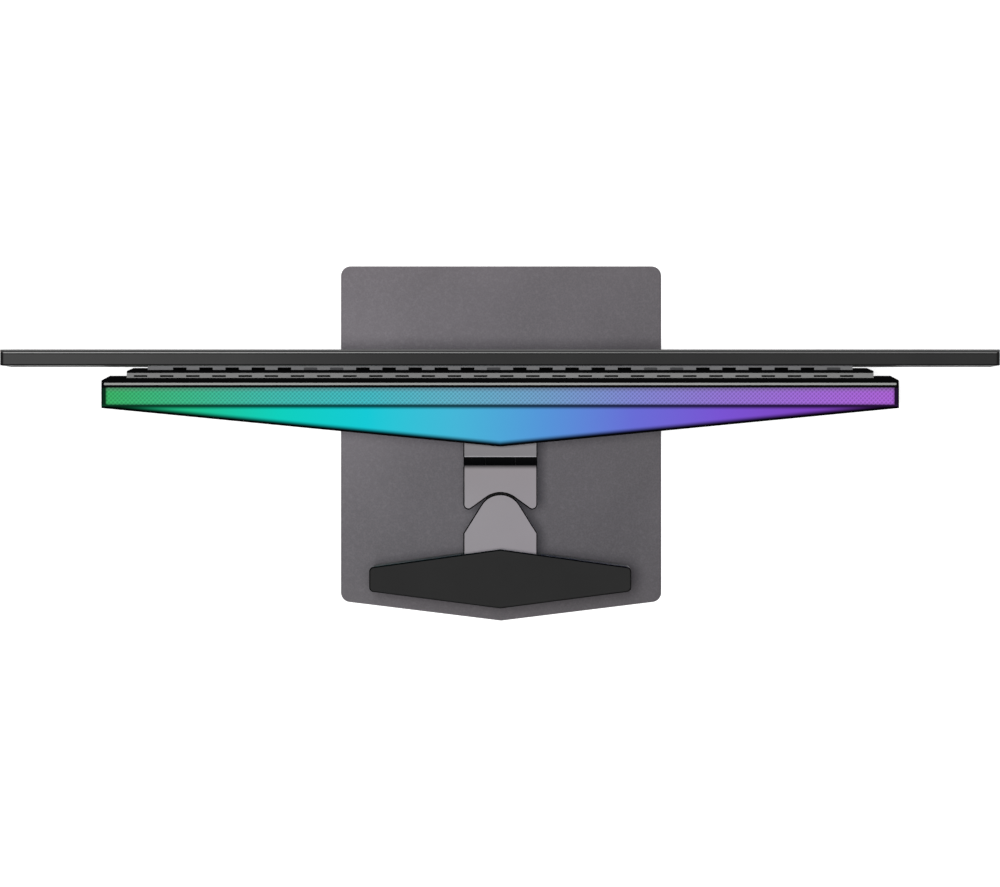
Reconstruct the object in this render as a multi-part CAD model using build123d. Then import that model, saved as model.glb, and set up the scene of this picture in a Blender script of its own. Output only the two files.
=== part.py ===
from build123d import *
import os
from math import cos, radians, sin, sqrt, tan

# Flat desktop display whose back carries a wide, V-shaped light housing, on a
# stand with height, swivel and tilt adjustment.
#
# Frame: X to the right seen from the front, Y towards the back, Z up. The
# origin is on the desk, under the middle of the overall outline. Millimetres.
# The screen faces -Y. Every sub-part is written to parts/NODE.step.

# ---------------------------------------------------------------- clearances
SLIP = 0.2          # between plastic parts that drop into each other
RUN = 0.05          # radial running clearance of a pin in its bore
SIDE_PLAY = 0.3     # between faces that slide past each other

# ------------------------------------------------------- places of the joints
HEAD_Z = 288.0      # height of the display's centre and of the stand's neck
LIFT_UP = 60.0      # travel of the height adjustment above this height
LIFT_DOWN = 70.0    # and below it
TILT_Y = 3.0        # tilt axis, parallel to X, at height HEAD_Z
SWIVEL_Y = 45.4     # swivel axis, parallel to Z, at X = 0

# ---------------------------------------------------------------- panel slab
PANEL_W = 613.5
PANEL_H = 364.0
PANEL_T = 9.8
PANEL_CORNER_R = 3.0
PANEL_FRONT_Y = -57.7
BEZEL_T = 1.7       # depth of the front bezel, up to its seam with the cover
BEZEL_RIM = 1.2     # visible rim at the top and the sides
CHIN = 17.0         # taller rim at the bottom
GLASS_SET = 0.2     # how far the screen sits below the rim
GLASS_T = 1.2
FILM_T = 0.8
GUIDE_T = 4.0
REFLECTOR_T = 0.4
CHASSIS_T = 0.8
CHASSIS_RIM_T = 0.8
COVER_WALL = 1.8
LED_H = 0.9         # backlight chips
LED_L = 3.5
LED_PITCH = 12.0
LED_BOARD_T = 1.0

# ------------------------------------------------------------- light housing
HOUSE_W = 491.0
HOUSE_H = 250.0
STEP_OUTER = 15.6   # from the housing's end to the end of the first plate
STEP_INNER = 12.9   # from there to the end of the first grille
STEP_Z = 2.0        # the same steps at the top and bottom
TIER_1_W = HOUSE_W - 2 * STEP_OUTER
TIER_2_H = HOUSE_H - 2 * STEP_Z
TIER_1_H = TIER_2_H - 2 * STEP_Z
NECK_1_W = TIER_1_W - 2 * STEP_INNER
NECK_1_T = 2.6      # first grille, against the panel
TIER_1_T = 1.9      # first black plate
TIER_1_LAP = 1.2    # how far the plate's ends reach forward past the grille
NECK_2_T = 3.0      # second grille, as wide as the first plate
TIER_2_T = 2.7
TIER_2_LAP = 1.3
GRILLE_WALL = 2.5
PLATE_LAP = 14.0    # how far a plate reaches inwards behind its grille
PLATE_1_BEVEL = (4.3, 1.8)
PLATE_2_BEVEL = (5.3, 2.8)
VENT_L = 8.3
VENT_PITCH = 16.1
VENT_SHIFT = 4.0
VENT_1_W = 1.5
VENT_2_W = 1.1
VENT_2_SET = 0.4    # from the second grille's middle away from the panel
VENTS_1 = 12        # places on each side of the middle one
VENTS_1_BLIND = (0, 6, 7)
VENTS_2 = 14
TRAY_T = 14.8       # depth of the light tray
TRAY_WALL = 2.7
TRAY_FLOOR = 1.5
TRAY_WINDOW_IN = 80.0   # from the housing's end to the window in the tray's floor
TRAY_WINDOW_TOP = 75.0
TRIM_SET = 0.3      # from the tray's front face to the trim strip
TRIM_W = 1.5
TRIM_T = 1.2
LENS_FRONT = 3.3    # from the tray's front face to the ribbed lens
LENS_W = 10.5
LENS_T = 1.5
LENS_LIP = 1.0      # ledge that the lens rests on
WEDGE_RISE = 24.0   # from the tray's back to the ridge of the diffuser
WEDGE_EDGE = 0.3    # depth of the diffuser at its two ends
DIFFUSER_T = 2.0
FRAME_T = 0.8
FRAME_W = 7.0
STRIP_T = 1.0       # circuit strips of the coloured light
STRIP_W = 8.0
STRIP_GAP = 7.3     # from the tray wall to the strip
RGB_L = 5.0
RGB_T = 1.6
RGB_PITCH = 17.0

# ----------------------------------------------- mount well, bracket and neck
WELL_HALF = 60.0
WELL_WALL = 2.0
WELL_FLOOR_Y = -22.0
BRACKET_T = 3.0
BRACKET_HALF = 62.0
VESA = 100.0
VESA_R = 2.0
BOSS_R = 4.5
BOSS_L = 6.0
POST_R = 4.0
POST_X = 56.0
POST_Z = 34.0
MOUNT_PLATE_HALF = 38.0
MOUNT_PLATE_T = 3.0
MOUNT_PLATE_R = 5.0
MOUNT_SCREW_AT = 30.0
TIP_SHORT = 0.5     # how far a screw ends before the hole does
NECK_HALF_W = 23.0
NECK_HALF_H = 13.5
BARREL_R = 17.0
HOOD_GAP = 0.6
HOOD_T = 3.4
HOOD_LIP_Y = 8.4    # back edge of the hood
YOKE_FOOT_T = 4.5
HOOD_OPEN = 6.0     # from the foot to where the hood's lower half is open
KNUCKLE_HALF_W = 9.0
KNUCKLE_HALF_H = 10.0
DISC_T = 0.4
DISC_R = 12.0
SHAFT_R = 4.0
FORK_FLANK = 36.0   # degrees from the screen plane
NOSE_FLANK = 58.0
NOSE_R = 14.1
NOTCH_GAP = 0.5
LOBE_R = 3.2
TONGUE_HALF_H = 5.0
TONGUE_R = 13.0
TONGUE_HALF_W = 9.0
TONGUE_ROOT = 3.0   # how deep it sits in the block
NECK_EDGE = 0.8     # broken edges of the neck's parts
PIN_R = 4.0
PIN_COVER = 3.5     # metal left above the blind pin hole
WASHER_IN = 2.0     # from the tongue's rim to the washer's

# --------------------------------------------------------------------- column
COL_HALF_W = 80.8
COL_FRONT_Y = 65.3
COL_BACK_Y = 101.7
COL_END_FRONT_Y = 76.4
COL_END_BACK_Y = 91.2
COL_CORNER_R = 3.0
COL_WALL = 2.5
COL_INNER_R = 0.5   # least corner radius inside
COL_TOP = 392.0
CAP_T = 5.0
CAP_PLUG = 5.0
CAP_EDGE = 0.8
CAP_PLUG_WALL = 2.0
SLOT_HALF_W = 25.0
SLOT_ROOM = 3.0
HOLE_Z = 72.0       # cable hole
HOLE_HALF_W = 30.0
HOLE_HALF_TOP = 20.0
HOLE_HALF_H = 20.0
HOLE_CORNER_R = 3.0
SLEEVE_T = 2.0
SPINE_T = 2.5
SPINE_HALF_W = 35.0
SPINE_WEB_Y = 91.0
SPINE_DEPTH = 10.0
SPINE_LIP = 9.0
SPINE_LIP_T = 2.0
SPINE_TOP_GAP = 2.0
SPINE_BELOW = 30.0  # folded flanges below the carriage's lowest place
CARRIAGE_HALF_H = 30.0
CARRIAGE_FRONT_Y = 76.0
CARRIAGE_NECK_HALF_W = 22.0
CARRIAGE_HALF_W = 29.5
CARRIAGE_T = 4.5
CARRIAGE_GAP = 1.0  # to the channel's lips
WING_T = 4.0
WING_H = 12.0
WING_OVER = 1.0     # past the tape
SHOE_H = 14.0
SHOE_IN = 1.0       # from the carriage's end
ARM_FLANGE_T = 4.0
ARM_FLANGE_HALF_H = 24.0
ARM_SCREW_X = 15.0
ARM_SCREW_Z = 19.0
ARM_SCREW_SINK = 1.5
ARM_SCREW_L = 8.0
SPRING_Z = 352.0
SPRING_R = 7.5
SPRING_CORE_R = 2.5
SPRING_X = 39.0
SPRING_W = 12.0
TAPE_T = 0.2
PIN_END = 1.5       # how far a spring's pin reaches past it
PIN_COLLAR_W = 1.5

# ----------------------------------------------------------------------- base
BASE_W = 201.7
BASE_T = 7.0
BASE_FRONT_Y = -111.6
BASE_CORNER_Y = 99.2
BASE_BACK_Y = 111.6
BASE_CORNER_R = 6.0
BASE_EDGE = 0.9
PAD_R = 10.0
PAD_T = 2.0
PAD_INSET = 16.0
PAD_EDGE = 0.5
SHOE_BLOCK_HALF_W = 32.0
SHOE_BLOCK_FRONT_Y = 73.5
SHOE_BLOCK_H = 21.0
BASE_SCREW_X = 22.0
BASE_SCREW_Y = (77.5, 87.0)
SPINE_SCREW_X = 12.0
SPINE_SCREW_UP = (6.0, 15.0)
SPINE_SCREW_IN = 8.0
BASE_SCREW_IN = 13.0

# ------------------------------------------------------ electronics, controls
BOARD_T = 1.6
BOARD_FRONT = 0.7   # from the tray's front plane to the boards
MAIN_HALF_W = 95.0
MAIN_H = 56.0
MAIN_UP = 3.0       # from the housing's bottom face to the board's edge
DRIVER_X = 70.0
DRIVER_IN = 5.0     # from the end of the tray's window to the board
DRIVER_W = HOUSE_W / 2 - TRAY_WINDOW_IN - DRIVER_IN - DRIVER_X
DRIVER_HALF_H = 48.0
STANDOFF_R = 3.0
STANDOFF_IN = 7.0
PROCESSOR = (24.0, 22.0, 2.0)
MEMORY = (12.0, 9.0, 1.2)
MEMORY_X = 40.0
SCALER = (14.0, 14.0, 3.0)
SCALER_X = 64.0
COIL = (12.0, 12.0, 6.0)
COIL_PITCH = 0.29 * DRIVER_W
COIL_UP = 18.0
CAN_R = 5.0
CAN_H = 9.0
CAN_PITCH = 0.22 * DRIVER_W
CAN_DOWN = 16.0
SINK_BASE_T = 1.6
SINK_T = 7.0
IO_HALF_W = 97.0
IO_FRONT = 1.5
IO_DEPTH = 11.0
SOCKET_L = 12.0
SOCKET_OUT = 0.2
SOCKET_FIT = 0.2
SOCKET_BACK_T = 2.0
TONGUE_IN = 1.0     # from the socket's mouth to its tongue
TONGUE_SIDE = 1.6   # from the socket's side to its tongue
SINK_HALF_W = 18.0
SINK_H = 26.0
SINK_DOWN = 4.0
FIN_T = 1.2
FINS = 8
KEY_IN = 50.5       # from the housing's end to the middle of the controls
KEY_SPREAD = 11.0   # half the distance between button and joystick
KEY_BOARD_UP = 10.0
KEY_BOARD_END = 10.0
KEY_BOX_WALL = 0.7
KEY_BOX_TOP_T = 1.0
SWITCH_HALF = 3.0
SWITCH_GAP = 0.1
BUTTON_R = 3.0
BUTTON_OUT = 1.0
BUTTON_IN = 4.5     # how far it reaches above the tray's wall
BUTTON_ROUND = 0.6
COLLAR_GAP = 0.1
COLLAR_W = 1.2
COLLAR_T = 1.0
BUTTON_TRAVEL = 0.8
STICK_CAP_R = 5.2
STICK_CAP_T = 4.5
STICK_OUT = 2.0     # gap between the cap and the housing
STICK_CAP_ROUND = 1.4
STICK_STEM_R = 1.6
STICK_STEM_UP = 2.0
STICK_SOCKET = 2.5      # how deep the stem sits in the cap
STICK_TRAVEL = 0.5
STICK_HOLE_R = 3.8
STICK_PIVOT_UP = 7.0
GIMBAL_HALF = 5.6
GIMBAL_T = 1.4
GIMBAL_H = 4.0
GIMBAL_ROUND = 0.4
TRUNNION_R = 0.7

# ---------------------------------------------------------------- screw sizes
M4_R = 2.0
M4_HEAD_R = 3.6
M4_HEAD_H = 2.2
M5_R = 2.5
M5_HEAD_R = 4.4
M5_HEAD_H = 3.0
SCREW_FIT = 0.15
SOCKET_SHARE_R = 0.7   # hex socket against the screw's radius
SOCKET_SHARE_H = 0.55  # and against the head's height

# ------------------------------------------------------------ derived planes
Y_SEAM = PANEL_FRONT_Y + BEZEL_T
Y_BACK = PANEL_FRONT_Y + PANEL_T
Y_GLASS = PANEL_FRONT_Y + GLASS_SET
Y_FILM = Y_GLASS + GLASS_T
Y_GUIDE = Y_FILM + FILM_T
Y_REFLECTOR = Y_GUIDE + GUIDE_T
Y_CHASSIS = Y_REFLECTOR + REFLECTOR_T
Y_CHASSIS_BACK = Y_CHASSIS + CHASSIS_T
Y_TIER_1 = Y_BACK + NECK_1_T
Y_NECK_2 = Y_TIER_1 + TIER_1_T
Y_TIER_2 = Y_NECK_2 + NECK_2_T
Y_TRAY = Y_TIER_2 + TIER_2_T
Y_WEDGE = Y_TRAY + TRAY_T
Y_BRACKET_BACK = WELL_FLOOR_Y - WELL_WALL
Y_BRACKET = Y_BRACKET_BACK - BRACKET_T
Y_YOKE = WELL_FLOOR_Y + MOUNT_PLATE_T
Y_BOARD = Y_TRAY + BOARD_FRONT
KEY_Y = (Y_TRAY + TRAY_FLOOR + Y_WEDGE) / 2
Y_BOARD_BACK = Y_BOARD + BOARD_T
X_WINDOW = PANEL_W / 2 - BEZEL_RIM
Z_WINDOW = (HEAD_Z - PANEL_H / 2 + CHIN, HEAD_Z + PANEL_H / 2 - BEZEL_RIM)
X_CAVITY = PANEL_W / 2 - COVER_WALL
Z_CAVITY = PANEL_H / 2 - COVER_WALL
COL_MID_Y = (COL_END_FRONT_Y + COL_END_BACK_Y) / 2
BASE_TOP = PAD_T + BASE_T
HOUSE_BOTTOM = HEAD_Z - HOUSE_H / 2
HOUSE_TOP = HEAD_Z + HOUSE_H / 2


# -------------------------------------------------------------------- helpers
def block(x, y, z):
    """A box from three (low, high) pairs."""
    size = [high - low for low, high in (x, y, z)]
    middle = [(high + low) / 2 for low, high in (x, y, z)]
    return Pos(*middle) * Box(*size)


def both(half):
    """The pair (-half, half)."""
    return (-half, half)


def about(middle, half):
    """The pair from middle - half to middle + half."""
    return (middle - half, middle + half)


def rod(axis, radius, start, end, at):
    """A cylinder along axis "X", "Y" or "Z"; at gives its other two coordinates."""
    place = list(at)
    place.insert("XYZ".index(axis), (start + end) / 2)
    turn = {"X": Rot(0, 90, 0), "Y": Rot(90, 0, 0), "Z": Rot(0, 0, 0)}[axis]
    return Pos(*place) * turn * Cylinder(radius, abs(end - start))


def outline(points):
    """A flat face in XY through the points."""
    return make_face(Polyline(*points, close=True))


def prism(face, z):
    """A face in XY, extruded between two heights."""
    return extrude(Pos(0, 0, z[0]) * face, amount=z[1] - z[0])


def screen_plate(half_w, z, y, corner):
    """A plate parallel to the screen, with rounded corners."""
    face = Pos(0, (z[0] + z[1]) / 2) * RectangleRounded(2 * half_w, z[1] - z[0], corner)
    plane = Plane.XZ.offset(-y[1])
    return extrude(plane * face, amount=y[1] - y[0])


def union(shapes):
    """All the shapes fused into one."""
    total = shapes[0]
    for shape in shapes[1:]:
        total = total + shape
    return total


def screw(axis, radius, head_r, head_h, seat, tip, at):
    """A socket-head screw: its head stands on seat, away from tip."""
    back = head_h if seat > tip else -head_h
    body = rod(axis, radius, tip, seat, at) + rod(axis, head_r, seat, seat + back, at)
    bottom = seat + back * (1 - SOCKET_SHARE_H)
    return body - rod(axis, radius * SOCKET_SHARE_R, bottom, seat + back, at)


def save(name, *shapes):
    """Writes one sub-part; several shapes stay separate solids."""
    solids = [solid for shape in shapes for solid in shape.solids()]
    shape = solids[0] if len(solids) == 1 else Compound(children=solids)
    export_step(shape, f"parts/{name}.step")


# ----------------------------------------------------------------- panel slab
def front_bezel():
    z = about(HEAD_Z, PANEL_H / 2)
    ring = screen_plate(PANEL_W / 2, z, (PANEL_FRONT_Y, Y_SEAM), PANEL_CORNER_R)
    return ring - block(both(X_WINDOW), (PANEL_FRONT_Y - 1, Y_SEAM + 1), Z_WINDOW)


def lcd_screen():
    z = (Z_WINDOW[0] + SLIP / 2, Z_WINDOW[1] - SLIP / 2)
    return block(both(X_WINDOW - SLIP / 2), (Y_GLASS, Y_FILM), z)


X_CHASSIS = X_CAVITY - SLIP
X_GUIDE = X_CHASSIS - CHASSIS_RIM_T - SLIP
Z_GUIDE_TOP = Z_WINDOW[1] - COVER_WALL - CHASSIS_RIM_T - 2 * SLIP
Z_GUIDE_BOTTOM = Z_WINDOW[0] + SLIP


def sheet_across(y, t):
    """A sheet of the light guide's outline."""
    return block(both(X_GUIDE), (y, y + t), (Z_GUIDE_BOTTOM, Z_GUIDE_TOP))


def backlight():
    """The circuit strip under the light guide, and its row of chips."""
    z_chip = Z_GUIDE_BOTTOM - SLIP - LED_H
    strip = block(both(X_GUIDE), (Y_GUIDE, Y_REFLECTOR), (z_chip - LED_BOARD_T, z_chip))
    count = int(X_GUIDE / LED_PITCH)
    y_mid = (Y_GUIDE + Y_REFLECTOR) / 2
    chips = [
        block(about(i * LED_PITCH, LED_L / 2), about(y_mid, GUIDE_T / 4), (z_chip, z_chip + LED_H))
        for i in range(-count, count + 1)
    ]
    return [strip, *chips]


def panel_chassis():
    """Steel pan behind the light guide; its folded rim carries the screen."""
    z_low = HEAD_Z - Z_CAVITY + SLIP
    z_high = HEAD_Z + Z_CAVITY - SLIP
    pan = block(both(X_CHASSIS), (Y_SEAM, Y_CHASSIS_BACK), (z_low, z_high))
    room_z = (z_low + CHASSIS_RIM_T, z_high - CHASSIS_RIM_T)
    pan -= block(both(X_CHASSIS - CHASSIS_RIM_T), (Y_SEAM - 1, Y_CHASSIS), room_z)
    return pan


X_COVER_HOLE = NECK_1_W / 2 - PLATE_LAP
Z_COVER_HOLE = TIER_1_H / 2 - PLATE_LAP


def panel_cover():
    z = about(HEAD_Z, PANEL_H / 2)
    shell = screen_plate(PANEL_W / 2, z, (Y_SEAM, Y_BACK), PANEL_CORNER_R)
    cavity_y = (Y_SEAM - 1, Y_BACK - COVER_WALL)
    shell -= block(both(X_CAVITY), cavity_y, about(HEAD_Z, Z_CAVITY))
    hole_z = about(HEAD_Z, Z_COVER_HOLE)
    return shell - block(both(X_COVER_HOLE), (Y_SEAM, Y_BACK + 1), hole_z)


# ------------------------------------------------------------- light housing
def slots(places, y, height):
    """Cutters for a row of vents through the top and bottom walls of a grille."""
    cuts = []
    for x in places:
        for side in (-1, 1):
            z = about(HEAD_Z + side * height / 2, 2 * GRILLE_WALL)
            cuts.append(block(about(x, VENT_L / 2), y, z))
    return cuts


def grille(width, height, y, cuts):
    """A rectangular ring between two planes, with its vents."""
    z = about(HEAD_Z, height / 2)
    ring = block(both(width / 2), y, z)
    inner_z = about(HEAD_Z, height / 2 - GRILLE_WALL)
    ring -= block(both(width / 2 - GRILLE_WALL), (y[0] - 1, y[1] + 1), inner_z)
    return ring - cuts


def vent_ring_inner():
    places = [
        i * VENT_PITCH + VENT_SHIFT
        for i in range(-VENTS_1, VENTS_1 + 1)
        if abs(i) not in VENTS_1_BLIND
    ]
    cuts = slots(places, (Y_TIER_1 - VENT_1_W, Y_TIER_1), TIER_1_H)
    return grille(NECK_1_W, TIER_1_H, (Y_BACK, Y_TIER_1), cuts)


def vent_ring_outer():
    places = [(i + 0.5) * VENT_PITCH + VENT_SHIFT for i in range(-VENTS_2, VENTS_2)]
    places = [x for x in places if abs(x) + VENT_L / 2 < TIER_1_W / 2 - GRILLE_WALL]
    middle = (Y_NECK_2 + Y_TIER_2) / 2
    cuts = slots(places, about(middle + VENT_2_SET, VENT_2_W / 2), TIER_2_H)
    return grille(TIER_1_W, TIER_2_H, (Y_NECK_2, Y_TIER_2), cuts)


def tier_plate(half_w, height, y, lap, grille_half_w, bevel, hole_half_w, hole_half_h):
    """A plate ring behind a grille: its bevelled ends reach forward past the grille."""
    front = y[0] - lap
    inner = grille_half_w + SLIP / 2
    right = [
        (inner, y[0]),
        (inner, front),
        (half_w - bevel[0], front),
        (half_w, front + bevel[1]),
        (half_w, y[1]),
    ]
    left = [(-x, depth) for x, depth in reversed(right)]
    plate = prism(outline(right + left), about(HEAD_Z, height / 2))
    hole_z = about(HEAD_Z, hole_half_h)
    return plate - block(both(hole_half_w), (front - 1, y[1] + 1), hole_z)


def tier_plate_inner():
    return tier_plate(
        TIER_1_W / 2, TIER_1_H, (Y_TIER_1, Y_NECK_2), TIER_1_LAP, NECK_1_W / 2,
        PLATE_1_BEVEL, X_COVER_HOLE, Z_COVER_HOLE,
    )


def tier_plate_outer():
    return tier_plate(
        HOUSE_W / 2, TIER_2_H, (Y_TIER_2, Y_TRAY), TIER_2_LAP, TIER_1_W / 2,
        PLATE_2_BEVEL, X_COVER_HOLE, Z_COVER_HOLE,
    )


Y_LENS = (Y_TRAY + LENS_FRONT, Y_TRAY + LENS_FRONT + LENS_W)
Y_LENS_WINDOW = (Y_LENS[0] + LENS_LIP, Y_LENS[1] - LENS_LIP)
X_LENS = HOUSE_W / 2 - TRAY_WALL
Z_SIDE_LENS = HOUSE_H / 2 - 2 * TRAY_WALL
Y_TRIM = (Y_TRAY + TRIM_SET, Y_TRAY + TRIM_SET + TRIM_W)
X_TRIM = HOUSE_W / 2 - TRIM_W
IO_Y = (Y_TRAY + IO_FRONT, Y_TRAY + IO_FRONT + IO_DEPTH)
KEY_X = HOUSE_W / 2 - KEY_IN
BUTTON_X = KEY_X - KEY_SPREAD
STICK_X = KEY_X + KEY_SPREAD


def light_tray():
    """Black ring that carries lenses, trim, light strips and the socket panel."""
    outer_z = about(HEAD_Z, HOUSE_H / 2)
    inner_z = about(HEAD_Z, HOUSE_H / 2 - TRAY_WALL)
    tray = block(both(HOUSE_W / 2), (Y_TRAY, Y_WEDGE), outer_z)
    tray -= block(both(X_LENS), (Y_TRAY + TRAY_FLOOR, Y_WEDGE + 1), inner_z)
    window_z = (inner_z[0], HEAD_Z + TRAY_WINDOW_TOP)
    tray -= block(both(HOUSE_W / 2 - TRAY_WINDOW_IN), (Y_TRAY - 1, Y_TRAY + TRAY_FLOOR + 1), window_z)
    lens_y = (Y_LENS[0] - SLIP / 2, Y_LENS[1] + SLIP / 2)
    tray -= block(both(X_LENS + SLIP / 2), lens_y, (HOUSE_TOP - LENS_T, HOUSE_TOP + 1))
    deep_z = (HOUSE_TOP - 2 * TRAY_WALL, HOUSE_TOP)
    tray -= block(both(X_LENS - 3 * LENS_LIP), Y_LENS_WINDOW, deep_z)
    trim_z = (HOUSE_TOP - TRIM_T, HOUSE_TOP + 1)
    tray -= block(both(X_TRIM), Y_TRIM, trim_z)
    for side in (-1, 1):
        wall = sorted((side * (HOUSE_W / 2 - LENS_T), side * (HOUSE_W / 2 + 1)))
        tray -= block(wall, lens_y, about(HEAD_Z, Z_SIDE_LENS + SLIP / 2))
        deep = sorted((side * (HOUSE_W / 2 - 2 * TRAY_WALL), side * HOUSE_W / 2))
        tray -= block(deep, Y_LENS_WINDOW, about(HEAD_Z, Z_SIDE_LENS - 3 * LENS_LIP))
    bottom = (HOUSE_BOTTOM - 1, HOUSE_BOTTOM + TRAY_WALL + 1)
    tray -= block(both(IO_HALF_W), IO_Y, bottom)
    tray -= rod("Z", BUTTON_R + SIDE_PLAY, *bottom, (BUTTON_X, KEY_Y))
    tray -= rod("Z", STICK_HOLE_R, *bottom, (STICK_X, KEY_Y))
    return tray


def trim_strip():
    x = both(X_TRIM - SLIP / 2)
    return block(x, (Y_TRIM[0] + SLIP / 4, Y_TRIM[1] - SLIP / 4), (HOUSE_TOP - TRIM_T, HOUSE_TOP))


def lens_bands():
    """The ribbed lens along the top, and one down each side."""
    top = block(both(X_LENS), Y_LENS, (HOUSE_TOP - LENS_T, HOUSE_TOP))
    z = about(HEAD_Z, Z_SIDE_LENS)
    right = block((HOUSE_W / 2 - LENS_T, HOUSE_W / 2), Y_LENS, z)
    left = block((-HOUSE_W / 2, LENS_T - HOUSE_W / 2), Y_LENS, z)
    return [top, left, right]


Y_RIDGE = Y_WEDGE + WEDGE_RISE
Y_WEDGE_END = Y_WEDGE + WEDGE_EDGE


def vee(front_y, end_y, ridge_y, half_w=HOUSE_W / 2):
    """Plan of the shallow V between the tray's back and the ridge."""
    points = [(-half_w, front_y), (half_w, front_y), (half_w, end_y), (0, ridge_y), (-half_w, end_y)]
    return outline(points)


def rear_diffuser():
    body = prism(vee(Y_WEDGE, Y_WEDGE_END, Y_RIDGE), about(HEAD_Z, HOUSE_H / 2))
    slope = (Y_RIDGE - Y_WEDGE_END) / (HOUSE_W / 2)
    inner_half = (WEDGE_RISE - DIFFUSER_T) / slope
    room = outline([(-inner_half, Y_WEDGE), (inner_half, Y_WEDGE), (0, Y_RIDGE - DIFFUSER_T)])
    body -= prism(room, about(HEAD_Z, HOUSE_H / 2 - TRAY_WALL))
    hole = WELL_HALF + SLIP / 2
    return body - block(both(hole), (Y_WEDGE - 1, Y_RIDGE + 1), about(HEAD_Z, hole))


def rear_frame():
    """Thin V-shaped frame round the edge of the diffuser's back."""
    z = about(HEAD_Z, HOUSE_H / 2)
    outer = prism(vee(Y_WEDGE, Y_WEDGE_END + FRAME_T, Y_RIDGE + FRAME_T), z)
    outer -= prism(vee(Y_WEDGE, Y_WEDGE_END, Y_RIDGE), z)
    inner_z = about(HEAD_Z, HOUSE_H / 2 - FRAME_W)
    return outer - block(both(HOUSE_W / 2 - FRAME_W), (Y_WEDGE, Y_RIDGE + 2 * FRAME_T), inner_z)


def strip_row(length):
    """Middles of the light chips along a strip."""
    count = int((length - RGB_PITCH) / 2 / RGB_PITCH)
    return [i * RGB_PITCH for i in range(-count, count + 1)]


def colour_lights():
    """Circuit strips behind the lenses, and the chips on them."""
    y = (Y_TRAY + TRAY_FLOOR, Y_TRAY + TRAY_FLOOR + STRIP_W)
    y_mid = (y[0] + y[1]) / 2
    chip_y = about(y_mid, RGB_L / 2)
    z_top = HOUSE_TOP - TRAY_WALL - STRIP_GAP
    half_top = X_LENS - 2 * STRIP_GAP
    strips = [block(both(half_top), y, (z_top - STRIP_T, z_top))]
    chips = [
        block(about(x, RGB_L / 2), chip_y, (z_top, z_top + RGB_T)) for x in strip_row(2 * half_top)
    ]
    half_side = HOUSE_H / 2 - 3 * STRIP_GAP
    x_face = X_LENS - STRIP_GAP
    for side in (-1, 1):
        board = sorted((side * (x_face - STRIP_T), side * x_face))
        chip = sorted((side * x_face, side * (x_face + RGB_T)))
        strips.append(block(board, y, about(HEAD_Z, half_side)))
        chips += [
            block(chip, chip_y, about(HEAD_Z + z, RGB_L / 2)) for z in strip_row(2 * half_side)
        ]
    return strips, chips


# --------------------------------------------------- mount, boards and sockets
def corners(x, z):
    """The four places (+-x, HEAD_Z +- z)."""
    return [(i * x, HEAD_Z + k * z) for i in (-1, 1) for k in (-1, 1)]


def rods_y(places, radius, y):
    """Cylinders along Y at places given as (x, z)."""
    return [rod("Y", radius, *y, at) for at in places]


def mount_bracket():
    """Steel plate behind the well floor, tapped for a wall bracket and for the stand."""
    vesa = corners(VESA / 2, VESA / 2)
    z = about(HEAD_Z, BRACKET_HALF)
    plate = block(both(BRACKET_HALF), (Y_BRACKET, Y_BRACKET_BACK), z)
    plate = union([plate, *rods_y(vesa, BOSS_R, (Y_BRACKET - BOSS_L, Y_BRACKET))])
    plate -= rods_y(vesa, VESA_R, (Y_BRACKET - BOSS_L - 1, Y_BRACKET_BACK + 1))
    at = corners(MOUNT_SCREW_AT, MOUNT_SCREW_AT)
    return plate - rods_y(at, M4_R + RUN, (Y_BRACKET - 1, Y_BRACKET_BACK + 1))


def bracket_posts():
    return rods_y(corners(POST_X, POST_Z), POST_R, (Y_CHASSIS_BACK, Y_BRACKET))


def mount_well():
    """Square tub let into the diffuser; its floor has the wall-bracket holes."""
    z = about(HEAD_Z, WELL_HALF)
    tub = block(both(WELL_HALF), (Y_BRACKET_BACK, Y_RIDGE + FRAME_T), z)
    inner = WELL_HALF - WELL_WALL
    tub -= block(both(inner), (WELL_FLOOR_Y, Y_RIDGE + 2 * FRAME_T), about(HEAD_Z, inner))
    plan = vee(Y_BRACKET_BACK, Y_WEDGE_END + FRAME_T, Y_RIDGE + FRAME_T)
    tub &= prism(plan, z)
    floor = (Y_BRACKET_BACK - 1, WELL_FLOOR_Y + 1)
    tub -= rods_y(corners(VESA / 2, VESA / 2), VESA_R + SLIP, floor)
    return tub - rods_y(corners(MOUNT_SCREW_AT, MOUNT_SCREW_AT), M4_R + SLIP, floor)


def mount_plate():
    z = about(HEAD_Z, MOUNT_PLATE_HALF)
    plate = screen_plate(MOUNT_PLATE_HALF, z, (WELL_FLOOR_Y, Y_YOKE), MOUNT_PLATE_R)
    at = corners(MOUNT_SCREW_AT, MOUNT_SCREW_AT)
    return plate - rods_y(at, M4_R + SLIP, (WELL_FLOOR_Y - 1, Y_YOKE + 1))


def mount_screws():
    return [
        screw("Y", M4_R, M4_HEAD_R, M4_HEAD_H, Y_YOKE, Y_BRACKET + TIP_SHORT, at)
        for at in corners(MOUNT_SCREW_AT, MOUNT_SCREW_AT)
    ]


Z_MAIN = (HOUSE_BOTTOM + MAIN_UP, HOUSE_BOTTOM + MAIN_UP + MAIN_H)
MAIN_POSTS = [
    (side * (MAIN_HALF_W - STANDOFF_IN), z)
    for side in (-1, 1)
    for z in (HEAD_Z - Z_COVER_HOLE + STANDOFF_IN, Z_MAIN[1] - STANDOFF_IN)
]
DRIVER_POSTS = [
    (x, HEAD_Z + side * (DRIVER_HALF_H - STANDOFF_IN))
    for side in (-1, 1)
    for x in (DRIVER_X + STANDOFF_IN, DRIVER_X + DRIVER_W - STANDOFF_IN)
]


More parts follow.
